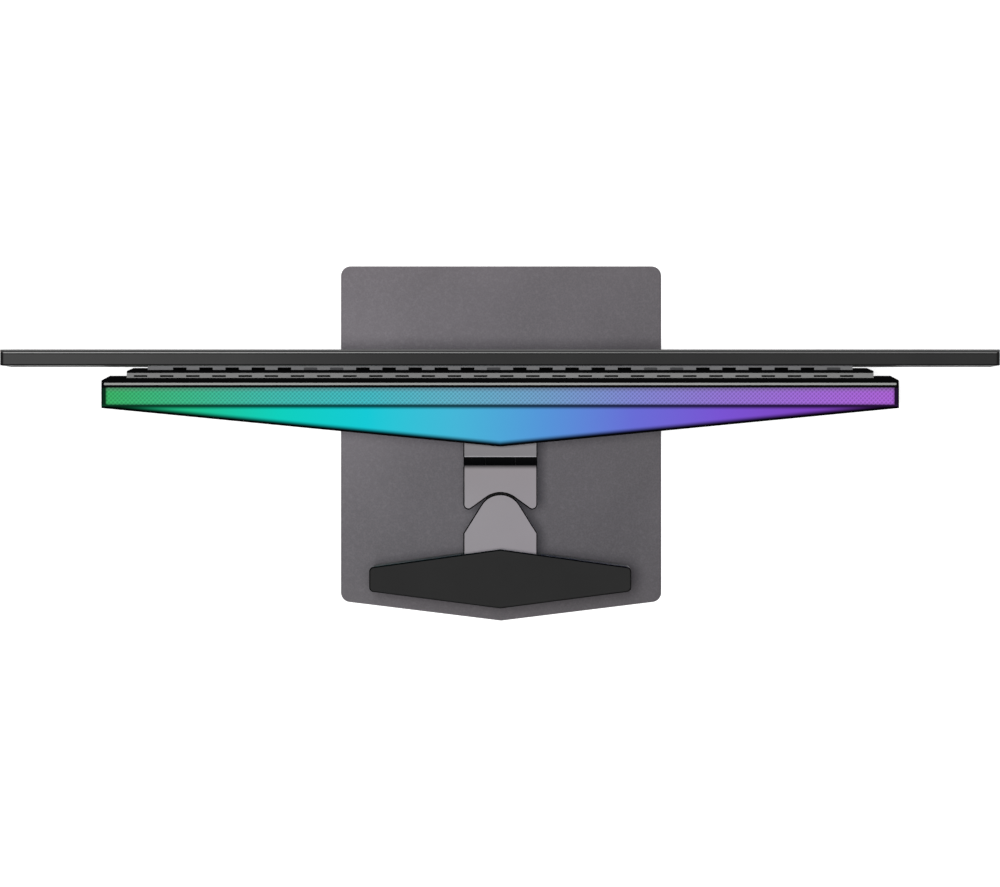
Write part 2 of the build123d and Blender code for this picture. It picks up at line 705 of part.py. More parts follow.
def board_standoffs():
    return rods_y(MAIN_POSTS + DRIVER_POSTS, STANDOFF_R, (Y_CHASSIS_BACK, Y_BOARD))


def mainboard():
    return block(both(MAIN_HALF_W), (Y_BOARD, Y_BOARD_BACK), Z_MAIN)


def driver_board():
    x = (DRIVER_X, DRIVER_X + DRIVER_W)
    return block(x, (Y_BOARD, Y_BOARD_BACK), about(HEAD_Z, DRIVER_HALF_H))


def on_board(x, z, size):
    """A component on the back of a board; size is its width, height and depth."""
    y = (Y_BOARD_BACK, Y_BOARD_BACK + size[2])
    return block(about(x, size[0] / 2), y, about(z, size[1] / 2))


Z_SINK = Z_MAIN[1] - SINK_H / 2 - SINK_DOWN


def board_components():
    """Processor, memory, coils and capacitors of the two boards."""
    parts = [on_board(0, Z_SINK, PROCESSOR)]
    parts += [on_board(side * MEMORY_X, Z_SINK, MEMORY) for side in (-1, 1)]
    parts += [on_board(-SCALER_X, Z_SINK, SCALER)]
    x_mid = DRIVER_X + DRIVER_W / 2
    for column in (-1, 0, 1):
        parts.append(on_board(x_mid + COIL_PITCH * column, HEAD_Z + COIL_UP, COIL))
    for column in (-1.5, -0.5, 0.5, 1.5):
        at = (x_mid + CAN_PITCH * column, HEAD_Z - CAN_DOWN)
        parts.append(rod("Y", CAN_R, Y_BOARD_BACK, Y_BOARD_BACK + CAN_H, at))
    return parts


def heat_sink():
    """Finned block on the processor."""
    seat = Y_BOARD_BACK + PROCESSOR[2]
    z = about(Z_SINK, SINK_H / 2)
    sink = block(both(SINK_HALF_W), (seat, seat + SINK_BASE_T), z)
    step = (2 * SINK_HALF_W - FIN_T) / (FINS - 1)
    fins = [
        block(about(-SINK_HALF_W + FIN_T / 2 + i * step, FIN_T / 2), (seat, seat + SINK_T), z)
        for i in range(FINS)
    ]
    return union([sink, *fins])


# name, middle, width, thickness across the board, opening's wall, tongue thickness
SOCKETS = [
    ("hdmi", -72.0, 15.0, 5.6, 0.5, 1.5),
    ("hdmi", -50.0, 15.0, 5.6, 0.5, 1.5),
    ("displayport", -27.0, 17.0, 5.6, 0.5, 1.5),
    ("usb_c", -7.0, 9.0, 3.4, 0.4, 0.8),
    ("usb_a", 13.0, 13.2, 5.8, 0.4, 2.2),
    ("usb_a", 33.0, 13.2, 5.8, 0.4, 2.2),
]
JACK_X = 78.0
JACK_W = 9.4
JACK_R = 3.2
JACK_PIN_R = 1.2
SOCKET_Z = (HOUSE_BOTTOM + SOCKET_OUT, HOUSE_BOTTOM + SOCKET_OUT + SOCKET_L)


def data_sockets():
    """Metal sockets on the lower edge of the mainboard, each with its tongue."""
    made = []
    for _name, x, width, thick, wall, tongue in SOCKETS:
        y = (Y_BOARD_BACK, Y_BOARD_BACK + thick)
        shell = block(about(x, width / 2), y, SOCKET_Z)
        mouth_z = (SOCKET_Z[0] - 1, SOCKET_Z[1] - SOCKET_BACK_T)
        shell -= block(about(x, width / 2 - wall), (y[0] + wall, y[1] - wall), mouth_z)
        middle = (y[0] + y[1]) / 2
        tongue_z = (SOCKET_Z[0] + TONGUE_IN, SOCKET_Z[1] - SOCKET_BACK_T / 2)
        tongue_x = about(x, width / 2 - TONGUE_SIDE)
        made.append(shell + block(tongue_x, about(middle, tongue / 2), tongue_z))
    return made


def power_jack():
    """Round low-voltage inlet with its centre pin."""
    y = (Y_BOARD_BACK, Y_BOARD_BACK + JACK_W)
    at = (JACK_X, (y[0] + y[1]) / 2)
    shell = block(about(JACK_X, JACK_W / 2), y, SOCKET_Z)
    shell -= rod("Z", JACK_R, SOCKET_Z[0] - 1, SOCKET_Z[1] - SOCKET_BACK_T, at)
    pin_z = (SOCKET_Z[0] + TONGUE_IN, SOCKET_Z[1] - SOCKET_BACK_T / 2)
    return shell + rod("Z", JACK_PIN_R, *pin_z, at)


def io_panel():
    """Insert in the bottom of the tray with one cut-out for each socket."""
    y = (IO_Y[0] + SLIP / 2, IO_Y[1] - SLIP / 2)
    z = (HOUSE_BOTTOM, HOUSE_BOTTOM + TRAY_WALL)
    panel = block(both(IO_HALF_W - SLIP / 2), y, z)
    through = (HOUSE_BOTTOM - 1, HOUSE_BOTTOM + TRAY_WALL + 1)
    cutters = [(x, width, thick) for _name, x, width, thick, _wall, _tongue in SOCKETS]
    for x, width, thick in cutters + [(JACK_X, JACK_W, JACK_W)]:
        cut_y = (Y_BOARD_BACK - SOCKET_FIT, Y_BOARD_BACK + thick + SOCKET_FIT)
        panel -= block(about(x, width / 2 + SOCKET_FIT), cut_y, through)
    return panel


# -------------------------------------------------------- button and joystick
KEY_BOARD_Z = HOUSE_BOTTOM + TRAY_WALL + KEY_BOARD_UP
STICK_PIVOT_Z = HOUSE_BOTTOM + STICK_PIVOT_UP
BUTTON_TOP = HOUSE_BOTTOM + TRAY_WALL + BUTTON_IN


def key_board():
    """Small circuit board over the controls, with the joystick's box and a switch."""
    x = (BUTTON_X - KEY_BOARD_END, STICK_X + KEY_BOARD_END)
    y = (Y_TRAY + TRAY_FLOOR, Y_WEDGE - SIDE_PLAY)
    board = block(x, y, (KEY_BOARD_Z, KEY_BOARD_Z + BOARD_T))
    wall = GIMBAL_HALF + SIDE_PLAY
    base = STICK_PIVOT_Z - GIMBAL_H / 2
    outer = wall + KEY_BOX_WALL
    box = block(about(STICK_X, outer), about(KEY_Y, outer), (base, KEY_BOARD_Z))
    room_z = (base - 1, KEY_BOARD_Z - KEY_BOX_TOP_T)
    box -= block(about(STICK_X, wall), about(KEY_Y, wall), room_z)
    box -= rod("Y", TRUNNION_R + RUN, KEY_Y - outer - 1, KEY_Y + outer + 1, (STICK_X, STICK_PIVOT_Z))
    switch_z = (BUTTON_TOP + BUTTON_TRAVEL + SWITCH_GAP, KEY_BOARD_Z)
    switch = block(about(BUTTON_X, SWITCH_HALF), about(KEY_Y, SWITCH_HALF), switch_z)
    return union([board, box, switch])


def power_button():
    at = (BUTTON_X, KEY_Y)
    key = rod("Z", BUTTON_R, HOUSE_BOTTOM - BUTTON_OUT, BUTTON_TOP, at)
    key = fillet(key.edges().group_by(Axis.Z)[0], BUTTON_ROUND)
    collar_z = HOUSE_BOTTOM + TRAY_WALL + COLLAR_GAP
    return key + rod("Z", BUTTON_R + COLLAR_W, collar_z, collar_z + COLLAR_T, at)


def joystick():
    """Gimbal ring, rocker, cap, and the stem that joins cap and rocker.

    The ring turns about Y on two pins in the box, the rocker about X on two
    pins in the ring, and the stem slides in the rocker.
    """
    at = (STICK_X, KEY_Y)
    z = about(STICK_PIVOT_Z, GIMBAL_H / 2)
    inner = GIMBAL_HALF - GIMBAL_T
    gimbal = block(about(STICK_X, GIMBAL_HALF), about(KEY_Y, GIMBAL_HALF), z)
    gimbal -= block(about(STICK_X, inner), about(KEY_Y, inner), (z[0] - 1, z[1] + 1))
    gimbal = fillet(gimbal.edges().filter_by(Axis.Z), GIMBAL_ROUND)
    reach = GIMBAL_HALF + SIDE_PLAY + KEY_BOX_WALL
    for side in (-1, 1):
        start = KEY_Y + side * (inner + SLIP)
        gimbal += rod("Y", TRUNNION_R, start, KEY_Y + side * reach, (STICK_X, STICK_PIVOT_Z))
    pin_at = (KEY_Y, STICK_PIVOT_Z)
    gimbal -= rod("X", TRUNNION_R + RUN, STICK_X - reach, STICK_X + reach, pin_at)
    cap_top = HOUSE_BOTTOM - STICK_OUT
    cap_bottom = cap_top - STICK_CAP_T
    stem_z = (cap_top - STICK_SOCKET, STICK_PIVOT_Z + STICK_STEM_UP)
    rocker = Pos(STICK_X, KEY_Y, STICK_PIVOT_Z) * Sphere(inner - SLIP)
    rocker += rod("X", TRUNNION_R, STICK_X - GIMBAL_HALF + SLIP, STICK_X + GIMBAL_HALF - SLIP, pin_at)
    rocker -= rod("Z", STICK_STEM_R + RUN, cap_top, stem_z[1] + STICK_TRAVEL + RUN, at)
    cap = rod("Z", STICK_CAP_R, cap_bottom, cap_top, at)
    cap = fillet(cap.edges().group_by(Axis.Z)[0], STICK_CAP_ROUND)
    cap -= rod("Z", STICK_STEM_R + RUN, stem_z[0], cap_top + 1, at)
    return gimbal, rocker, cap, rod("Z", STICK_STEM_R, *stem_z, at)


# ------------------------------------------------------------ tilt and swivel
def tilt_yoke():
    """Hood over the tilt barrels, on a foot against the mount plate."""
    outer_r = BARREL_R + HOOD_GAP + HOOD_T
    top = HEAD_Z + outer_r
    low = HEAD_Z - outer_r
    solid = block(both(NECK_HALF_W), (Y_YOKE, TILT_Y), (low, top))
    solid += rod("X", outer_r, -NECK_HALF_W, NECK_HALF_W, (TILT_Y, HEAD_Z))
    solid -= block(both(NECK_HALF_W + 1), (HOOD_LIP_Y, TILT_Y + outer_r + 1), (low - 1, top + 1))
    solid = chamfer(solid.edges().filter_by(Axis.X).group_by(Axis.Y)[-1], NECK_EDGE / 2)
    open_y = (Y_YOKE + YOKE_FOOT_T + HOOD_OPEN, HOOD_LIP_Y + 1)
    solid -= block(both(NECK_HALF_W + 1), open_y, (low - 1, HEAD_Z))
    solid -= rod("X", BARREL_R + HOOD_GAP, -NECK_HALF_W - 1, NECK_HALF_W + 1, (TILT_Y, HEAD_Z))
    slot = KNUCKLE_HALF_W + SLIP
    return solid - block(both(slot), (Y_YOKE - 1, TILT_Y), about(HEAD_Z, KNUCKLE_HALF_H + SLIP))


def tilt_knuckle():
    """Middle knuckle of the tilt hinge, on the mount plate."""
    radius = BARREL_R - RUN * 10
    body = rod("X", radius, -KNUCKLE_HALF_W, KNUCKLE_HALF_W, (TILT_Y, HEAD_Z))
    body += block(both(KNUCKLE_HALF_W), (Y_YOKE, TILT_Y), about(HEAD_Z, KNUCKLE_HALF_H))
    return body - rod("X", SHAFT_R + RUN / 2, -NECK_HALF_W, NECK_HALF_W, (TILT_Y, HEAD_Z))


BARREL_X = (KNUCKLE_HALF_W + DISC_T + 2 * RUN, NECK_HALF_W - SLIP)


def hinge_barrels():
    made = []
    for side in (-1, 1):
        barrel = rod("X", BARREL_R, side * BARREL_X[0], side * BARREL_X[1], (TILT_Y, HEAD_Z))
        made.append(barrel - rod("X", SHAFT_R + RUN, -NECK_HALF_W, NECK_HALF_W, (TILT_Y, HEAD_Z)))
    return made


def tilt_shaft():
    return rod("X", SHAFT_R, -BARREL_X[1], BARREL_X[1], (TILT_Y, HEAD_Z))


def friction_discs():
    made = []
    for side in (-1, 1):
        start = side * (KNUCKLE_HALF_W + RUN)
        disc = rod("X", DISC_R, start, start + side * DISC_T, (TILT_Y, HEAD_Z))
        made.append(disc - rod("X", SHAFT_R + 2 * RUN, -NECK_HALF_W, NECK_HALF_W, (TILT_Y, HEAD_Z)))
    return made


def flank_point(radius, flank):
    """Where a flank at this angle touches a circle round the swivel axis."""
    return (radius * sin(radians(flank)), SWIVEL_Y - radius * cos(radians(flank)))


def swivel_block():
    """Neck part between tilt and swivel: barrel seat in front, rounded notch behind."""
    radius = NOSE_R + NOTCH_GAP
    x_touch, y_touch = flank_point(radius, FORK_FLANK)
    y_corner = y_touch + (NECK_HALF_W - x_touch) * tan(radians(FORK_FLANK))
    edge = [
        Line((-x_touch, y_touch), (-NECK_HALF_W, y_corner)),
        Line((-NECK_HALF_W, y_corner), (-NECK_HALF_W, TILT_Y)),
        Line((-NECK_HALF_W, TILT_Y), (NECK_HALF_W, TILT_Y)),
        Line((NECK_HALF_W, TILT_Y), (NECK_HALF_W, y_corner)),
        Line((NECK_HALF_W, y_corner), (x_touch, y_touch)),
        ThreePointArc((x_touch, y_touch), (0, SWIVEL_Y - radius), (-x_touch, y_touch)),
    ]
    face = make_face(edge)
    tips = face.vertices().group_by(Axis.Y)[-1]
    face = fillet(tips, LOBE_R)
    body = prism(face, about(HEAD_Z, NECK_HALF_H))
    rims = [e for e in body.edges().group_by(Axis.Z)[-1] + body.edges().group_by(Axis.Z)[0]
            if e.center().Y > TILT_Y + 1]
    body = chamfer(rims, NECK_EDGE)
    tongue_z = about(HEAD_Z, TONGUE_HALF_H)
    root_y = SWIVEL_Y - radius - TONGUE_ROOT
    body += block(both(TONGUE_HALF_W), (root_y, SWIVEL_Y), tongue_z)
    body += rod("Z", TONGUE_R, *tongue_z, (0, SWIVEL_Y))
    body -= rod("Z", PIN_R + RUN, *about(HEAD_Z, NECK_HALF_H), (0, SWIVEL_Y))
    cut = rod("X", BARREL_R + RUN, -NECK_HALF_W - 1, NECK_HALF_W + 1, (TILT_Y, HEAD_Z))
    return body - cut


def swivel_arm():
    """Rounded nose with a slot for the tongue, and a flange inside the column."""
    x_touch, y_touch = flank_point(NOSE_R, NOSE_FLANK)
    y_shoulder = y_touch + (NECK_HALF_W - x_touch) * tan(radians(NOSE_FLANK))
    edge = [
        ThreePointArc((-x_touch, y_touch), (0, SWIVEL_Y - NOSE_R), (x_touch, y_touch)),
        Line((x_touch, y_touch), (NECK_HALF_W, y_shoulder)),
        Line((NECK_HALF_W, y_shoulder), (NECK_HALF_W, CARRIAGE_FRONT_Y)),
        Line((NECK_HALF_W, CARRIAGE_FRONT_Y), (-NECK_HALF_W, CARRIAGE_FRONT_Y)),
        Line((-NECK_HALF_W, CARRIAGE_FRONT_Y), (-NECK_HALF_W, y_shoulder)),
        Line((-NECK_HALF_W, y_shoulder), (-x_touch, y_touch)),
    ]
    body = prism(make_face(edge), about(HEAD_Z, NECK_HALF_H))
    rims = [e for e in body.edges().group_by(Axis.Z)[-1] + body.edges().group_by(Axis.Z)[0]
            if e.center().Y < CARRIAGE_FRONT_Y - 1]
    body = chamfer(rims, NECK_EDGE)
    flange_y = (CARRIAGE_FRONT_Y - ARM_FLANGE_T, CARRIAGE_FRONT_Y)
    body += block(both(NECK_HALF_W), flange_y, about(HEAD_Z, ARM_FLANGE_HALF_H))
    gap_z = about(HEAD_Z, TONGUE_HALF_H + SIDE_PLAY)
    body -= block(both(NECK_HALF_W + 1), (SWIVEL_Y - NOSE_R - 1, SWIVEL_Y), gap_z)
    body -= rod("Z", TONGUE_R + 2 * SIDE_PLAY, *gap_z, (0, SWIVEL_Y))
    for side in (-1, 1):
        flank_x = sorted((side * TONGUE_R, side * (NECK_HALF_W + 1)))
        body -= block(flank_x, (SWIVEL_Y - 1, SWIVEL_Y + TONGUE_R / 2), gap_z)
    pin_z = (HEAD_Z - NECK_HALF_H - 1, HEAD_Z + NECK_HALF_H - PIN_COVER)
    body -= rod("Z", PIN_R + RUN / 2, *pin_z, (0, SWIVEL_Y))
    holes = corners(ARM_SCREW_X, ARM_SCREW_Z)
    body -= rods_y(holes, M4_HEAD_R + SCREW_FIT, (flange_y[0] - 1, flange_y[0] + ARM_SCREW_SINK))
    return body - rods_y(holes, M4_R + SCREW_FIT, (flange_y[0] - 1, flange_y[1] + 1))


def swivel_pin():
    top = HEAD_Z + NECK_HALF_H - PIN_COVER - TIP_SHORT
    return rod("Z", PIN_R, HEAD_Z - NECK_HALF_H, top, (0, SWIVEL_Y))


def swivel_washers():
    made = []
    thick = SIDE_PLAY - 2 * RUN
    for side in (-1, 1):
        start = HEAD_Z + side * (TONGUE_HALF_H + RUN)
        disc = rod("Z", TONGUE_R - WASHER_IN, start, start + side * thick, (0, SWIVEL_Y))
        made.append(disc - rod("Z", PIN_R + 2 * RUN, HEAD_Z - 20, HEAD_Z + 20, (0, SWIVEL_Y)))
    return made


# ------------------------------------------------------------- height carriage
def carriage():
    z = about(HEAD_Z, CARRIAGE_HALF_H)
    flange_y = SPINE_WEB_Y - SPINE_DEPTH + SPINE_LIP_T + CARRIAGE_GAP
    body = block(both(CARRIAGE_NECK_HALF_W), (CARRIAGE_FRONT_Y, flange_y), z)
    body += block(both(CARRIAGE_HALF_W), (flange_y, flange_y + CARRIAGE_T), z)
    wing_z = (z[0], z[0] + WING_H)
    wing_x = both(SPRING_X + SPRING_W + WING_OVER)
    body += block(wing_x, (CARRIAGE_FRONT_Y, CARRIAGE_FRONT_Y + WING_T), wing_z)
    holes = corners(ARM_SCREW_X, ARM_SCREW_Z)
    return body - rods_y(holes, M4_R + RUN, (CARRIAGE_FRONT_Y - 1, CARRIAGE_FRONT_Y + ARM_SCREW_L))


def glide_shoes():
    """Plastic shoes between the carriage flange and the channel."""
    y = (SPINE_WEB_Y - SPINE_DEPTH + SPINE_LIP_T + SLIP, SPINE_WEB_Y - SLIP)
    made = []
    for side in (-1, 1):
        x = sorted((side * CARRIAGE_HALF_W, side * (SPINE_HALF_W - SPINE_T - SLIP)))
        for up in (-1, 1):
            edge = HEAD_Z + up * (CARRIAGE_HALF_H - SHOE_IN)
            made.append(block(x, y, sorted((edge, edge - up * SHOE_H))))
    return made


def arm_screws():
    seat = CARRIAGE_FRONT_Y - ARM_FLANGE_T + ARM_SCREW_SINK
    return [
        screw("Y", M4_R, M4_HEAD_R, M4_HEAD_H, seat, seat + ARM_SCREW_L, at)
        for at in corners(ARM_SCREW_X, ARM_SCREW_Z)
    ]


SPRING_Y = CARRIAGE_FRONT_Y + SPRING_R - TAPE_T / 2


def spring_sides():
    """X ranges of the two springs."""
    return [(-SPRING_X - SPRING_W, -SPRING_X), (SPRING_X, SPRING_X + SPRING_W)]


def spring_tapes():
    low = HEAD_Z - CARRIAGE_HALF_H + WING_H / 4
    y = (CARRIAGE_FRONT_Y - TAPE_T, CARRIAGE_FRONT_Y)
    return [block(x, y, (low, SPRING_Z)) for x in spring_sides()]


def spring_coils():
    made = []
    for x in spring_sides():
        coil = rod("X", SPRING_R - TAPE_T, *x, (SPRING_Y, SPRING_Z))
        made.append(coil - rod("X", SPRING_CORE_R, x[0] - 1, x[1] + 1, (SPRING_Y, SPRING_Z)))
    return made


def spool_pins():
    """Pins on the channel's sides that carry the spring coils."""
    reach = SPRING_X + SPRING_W + PIN_END
    at = (SPRING_Y, SPRING_Z)
    made = []
    for side in (-1, 1):
        pin = rod("X", SPRING_CORE_R - RUN, side * SPINE_HALF_W, side * reach, at)
        inner = side * (SPRING_X - SLIP)
        collar = rod("X", SPRING_CORE_R + PIN_COLLAR_W, side * SPINE_HALF_W, inner, at)
        made.append(pin + collar)
    return made


# --------------------------------------------------------------------- column
def column_face(inset):
    """Plan of the column, an elongated hexagon, inset by a wall."""
    front = (COL_END_FRONT_Y - COL_FRONT_Y) / COL_HALF_W
    back = (COL_BACK_Y - COL_END_BACK_Y) / COL_HALF_W
    drop_front = inset * sqrt(1 + front**2)
    drop_back = inset * sqrt(1 + back**2)
    x_end = COL_HALF_W - inset
    points = [
        (0, COL_FRONT_Y + drop_front),
        (x_end, COL_FRONT_Y + drop_front + front * x_end),
        (x_end, COL_BACK_Y - drop_back - back * x_end),
        (0, COL_BACK_Y - drop_back),
        (-x_end, COL_BACK_Y - drop_back - back * x_end),
        (-x_end, COL_FRONT_Y + drop_front + front * x_end),
    ]
    face = outline(points)
    ends = [v for v in face.vertices() if abs(v.X) > 1]
    return fillet(ends, max(COL_CORNER_R - inset, COL_INNER_R))


def cable_hole(inset, y):
    """Elongated hexagonal hole through the column, inset by a wall."""
    lean = (HOLE_HALF_W - HOLE_HALF_TOP) / HOLE_HALF_H
    x_point = HOLE_HALF_W - inset * sqrt(1 + lean**2)
    half_h = HOLE_HALF_H - inset
    x_top = x_point - lean * half_h
    upper = [(x_point, 0), (x_top, half_h), (-x_top, half_h)]
    lower = [(-x, -z) for x, z in upper]
    face = fillet(outline(upper + lower).vertices(), HOLE_CORNER_R)
    plane = Plane(origin=(0, y[1], HOLE_Z), x_dir=(1, 0, 0), z_dir=(0, -1, 0))
    return extrude(plane * face, amount=y[1] - y[0])


Z_COVERS = (BASE_TOP, COL_TOP - CAP_T)
Z_SLOT = (
    HEAD_Z - LIFT_DOWN - NECK_HALF_H - SLOT_ROOM,
    HEAD_Z + LIFT_UP + NECK_HALF_H + SLOT_ROOM,
)
Z_SPINE_TOP = Z_COVERS[1] - CAP_PLUG - SPINE_TOP_GAP
ALL_Y = (COL_FRONT_Y - 5, COL_BACK_Y + 5)
BASE_SCREWS = [(side * BASE_SCREW_X, y) for side in (-1, 1) for y in BASE_SCREW_Y]
SPINE_SCREWS = [
    (side * SPINE_SCREW_X, BASE_TOP + up) for side in (-1, 1) for up in SPINE_SCREW_UP
]
BASE_SCREW_TIP = BASE_TOP + BASE_SCREW_IN


def column_tube():
    tube = prism(column_face(0), Z_COVERS) - prism(column_face(COL_WALL), Z_COVERS)
    return tube - cable_hole(-SLIP / 2, ALL_Y)


def column_covers():
    """Front cover with the neck's slot, and rear cover, split at the widest line."""
    tube = column_tube()
    front = tube & block(both(COL_HALF_W + 1), (ALL_Y[0], COL_MID_Y), Z_COVERS)
    front -= block(both(SLOT_HALF_W), (ALL_Y[0], COL_MID_Y), Z_SLOT)
    rear = tube & block(both(COL_HALF_W + 1), (COL_MID_Y, ALL_Y[1]), Z_COVERS)
    return front, rear


def column_top_cap():
    lid = prism(column_face(0), (Z_COVERS[1], COL_TOP))
    lid = chamfer(lid.edges().group_by(Axis.Z)[-1], CAP_EDGE)
    plug_z = (Z_COVERS[1] - CAP_PLUG, Z_COVERS[1])
    plug = prism(column_face(COL_WALL + SLIP), plug_z)
    return lid + (plug - prism(column_face(COL_WALL + SLIP + CAP_PLUG_WALL), plug_z))


def cable_sleeve():
    """Liner of the cable hole, flush with both covers."""
    sleeve = cable_hole(0, ALL_Y) - cable_hole(SLEEVE_T, (ALL_Y[0] - 1, ALL_Y[1] + 1))
    return sleeve & prism(column_face(0), Z_COVERS)


def column_spine():
    """Steel channel: full-height web, folded flanges and lips along the travel."""
    web = block(both(SPINE_HALF_W), (SPINE_WEB_Y, SPINE_WEB_Y + SPINE_T), (BASE_TOP, Z_SPINE_TOP))
    flange_z = (HEAD_Z - LIFT_DOWN - CARRIAGE_HALF_H - SPINE_BELOW, Z_SPINE_TOP)
    front = SPINE_WEB_Y - SPINE_DEPTH
    parts = [web]
    for side in (-1, 1):
        wall = sorted((side * (SPINE_HALF_W - SPINE_T), side * SPINE_HALF_W))
        lip = sorted((side * (SPINE_HALF_W - SPINE_LIP), side * SPINE_HALF_W))
        parts.append(block(wall, (front, SPINE_WEB_Y), flange_z))
        parts.append(block(lip, (front, front + SPINE_LIP_T), flange_z))
    spine = union(parts) - cable_hole(-SLIP, ALL_Y)
    return spine - rods_y(SPINE_SCREWS, M4_R + SCREW_FIT, (SPINE_WEB_Y - 1, SPINE_WEB_Y + SPINE_T + 1))


def column_foot():
    """Block that joins the channel to the base plate."""
    y = (SHOE_BLOCK_FRONT_Y, SPINE_WEB_Y)
    body = block(both(SHOE_BLOCK_HALF_W), y, (BASE_TOP, BASE_TOP + SHOE_BLOCK_H))
    for at in BASE_SCREWS:
        body -= rod("Z", M5_R + RUN, BASE_TOP - 1, BASE_SCREW_TIP + TIP_SHORT, at)
    depth = SPINE_SCREW_IN + TIP_SHORT
    return body - rods_y(SPINE_SCREWS, M4_R + RUN, (SPINE_WEB_Y - depth, SPINE_WEB_Y + 1))


def stand_screws():
    """Four screws up through the base plate, and four through the channel."""
    made = [
        screw("Z", M5_R, M5_HEAD_R, M5_HEAD_H, PAD_T + M5_HEAD_H, BASE_SCREW_TIP, at)
        for at in BASE_SCREWS
    ]
    seat = SPINE_WEB_Y + SPINE_T
    tip = SPINE_WEB_Y - SPINE_SCREW_IN
    made += [screw("Y", M4_R, M4_HEAD_R, M4_HEAD_H, seat, tip, at) for at in SPINE_SCREWS]
    return made


# ----------------------------------------------------------------------- base
def base_plate():
    """Flat steel plate, square in front and shallowly pointed behind."""
    half = BASE_W / 2
    points = [
        (-half, BASE_FRONT_Y), (half, BASE_FRONT_Y), (half, BASE_CORNER_Y),
        (0, BASE_BACK_Y), (-half, BASE_CORNER_Y),
    ]
    face = outline(points)
    face = fillet([v for v in face.vertices() if abs(v.X) > 1], BASE_CORNER_R)
    plate = prism(face, (PAD_T, BASE_TOP))
    plate = chamfer(plate.edges().group_by(Axis.Z)[-1], BASE_EDGE)
    for at in BASE_SCREWS:
        plate -= rod("Z", M5_R + SCREW_FIT, PAD_T - 1, BASE_TOP + 1, at)
        plate -= rod("Z", M5_HEAD_R + SCREW_FIT, PAD_T - 1, PAD_T + M5_HEAD_H, at)
    return plate


def base_feet():
    """Rubber pads near the corners and one under the column."""
    x = BASE_W / 2 - PAD_INSET
    ends = (BASE_FRONT_Y + PAD_INSET, BASE_CORNER_Y - PAD_INSET)
    places = [(side * x, y) for side in (-1, 1) for y in ends]
    places.append((0, BASE_BACK_Y - PAD_INSET))
    pads = [rod("Z", PAD_R, 0, PAD_T, at) for at in places]
    return [chamfer(pad.edges().group_by(Axis.Z)[0], PAD_EDGE) for pad in pads]


def main():
    os.makedirs("parts", exist_ok=True)
    save("front_bezel", front_bezel())
    save("lcd_screen", lcd_screen())
    save("optical_sheets", sheet_across(Y_FILM, FILM_T), sheet_across(Y_REFLECTOR, REFLECTOR_T))
    save("light_guide", sheet_across(Y_GUIDE, GUIDE_T))
    save("backlight_bar", *backlight())
    save("panel_chassis", panel_chassis())
    save("panel_cover", panel_cover())
    save("vent_ring_inner", vent_ring_inner())
    save("tier_plate_inner", tier_plate_inner())
    save("vent_ring_outer", vent_ring_outer())
    save("tier_plate_outer", tier_plate_outer())
    save("light_tray", light_tray())
    save("trim_strip", trim_strip())
    save("lens_bands", *lens_bands())
    save("rear_diffuser", rear_diffuser())
    save("rear_frame", rear_frame())
    strips, chips = colour_lights()
    save("light_strips", *strips)
    save("light_chips", *chips)
    save("mount_bracket", mount_bracket())
    save("support_posts", *bracket_posts(), *board_standoffs())
    save("mount_well", mount_well())
    save("mount_plate", mount_plate())
    save("mount_screws", *mount_screws())
    save("mainboard", mainboard())
    save("driver_board", driver_board())
    save("board_components", *board_components())
    save("heat_sink", heat_sink())
    save("data_sockets", *data_sockets())
    save("power_jack", power_jack())
    save("io_panel", io_panel())
    save("key_board", key_board())
    save("power_button", power_button())
    gimbal, rocker, cap, stem = joystick()
    save("joystick_gimbal", gimbal)
    save("joystick_rocker", rocker)
    save("joystick_cap", cap)
    save("joystick_stem", stem)
    save("tilt_yoke", tilt_yoke())
    save("tilt_knuckle", tilt_knuckle())
    save("tilt_shaft", tilt_shaft())
    save("friction_discs", *friction_discs())
    save("hinge_barrels", *hinge_barrels())
    save("swivel_block", swivel_block())
    save("swivel_arm", swivel_arm())
    save("swivel_pin", swivel_pin())
    save("swivel_washers", *swivel_washers())
    save("carriage", carriage())
    save("glide_shoes", *glide_shoes())
    save("arm_screws", *arm_screws())
    save("spring_tapes", *spring_tapes())
    save("spring_coils", *spring_coils())
    save("spool_pins", *spool_pins())
    front, rear = column_covers()
    save("column_front_cover", front)
    save("column_rear_cover", rear)
    save("column_top_cap", column_top_cap())
    save("cable_sleeve", cable_sleeve())
    save("column_spine", column_spine())
    save("column_foot", column_foot())
    save("stand_screws", *stand_screws())
    save("base_plate", base_plate())
    save("base_feet", *base_feet())


main()
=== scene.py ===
import logging
from collections.abc import Sequence
from dataclasses import dataclass, field
from enum import Enum
from functools import cached_property, partial, reduce
from math import atan2, pi, radians
from operator import add

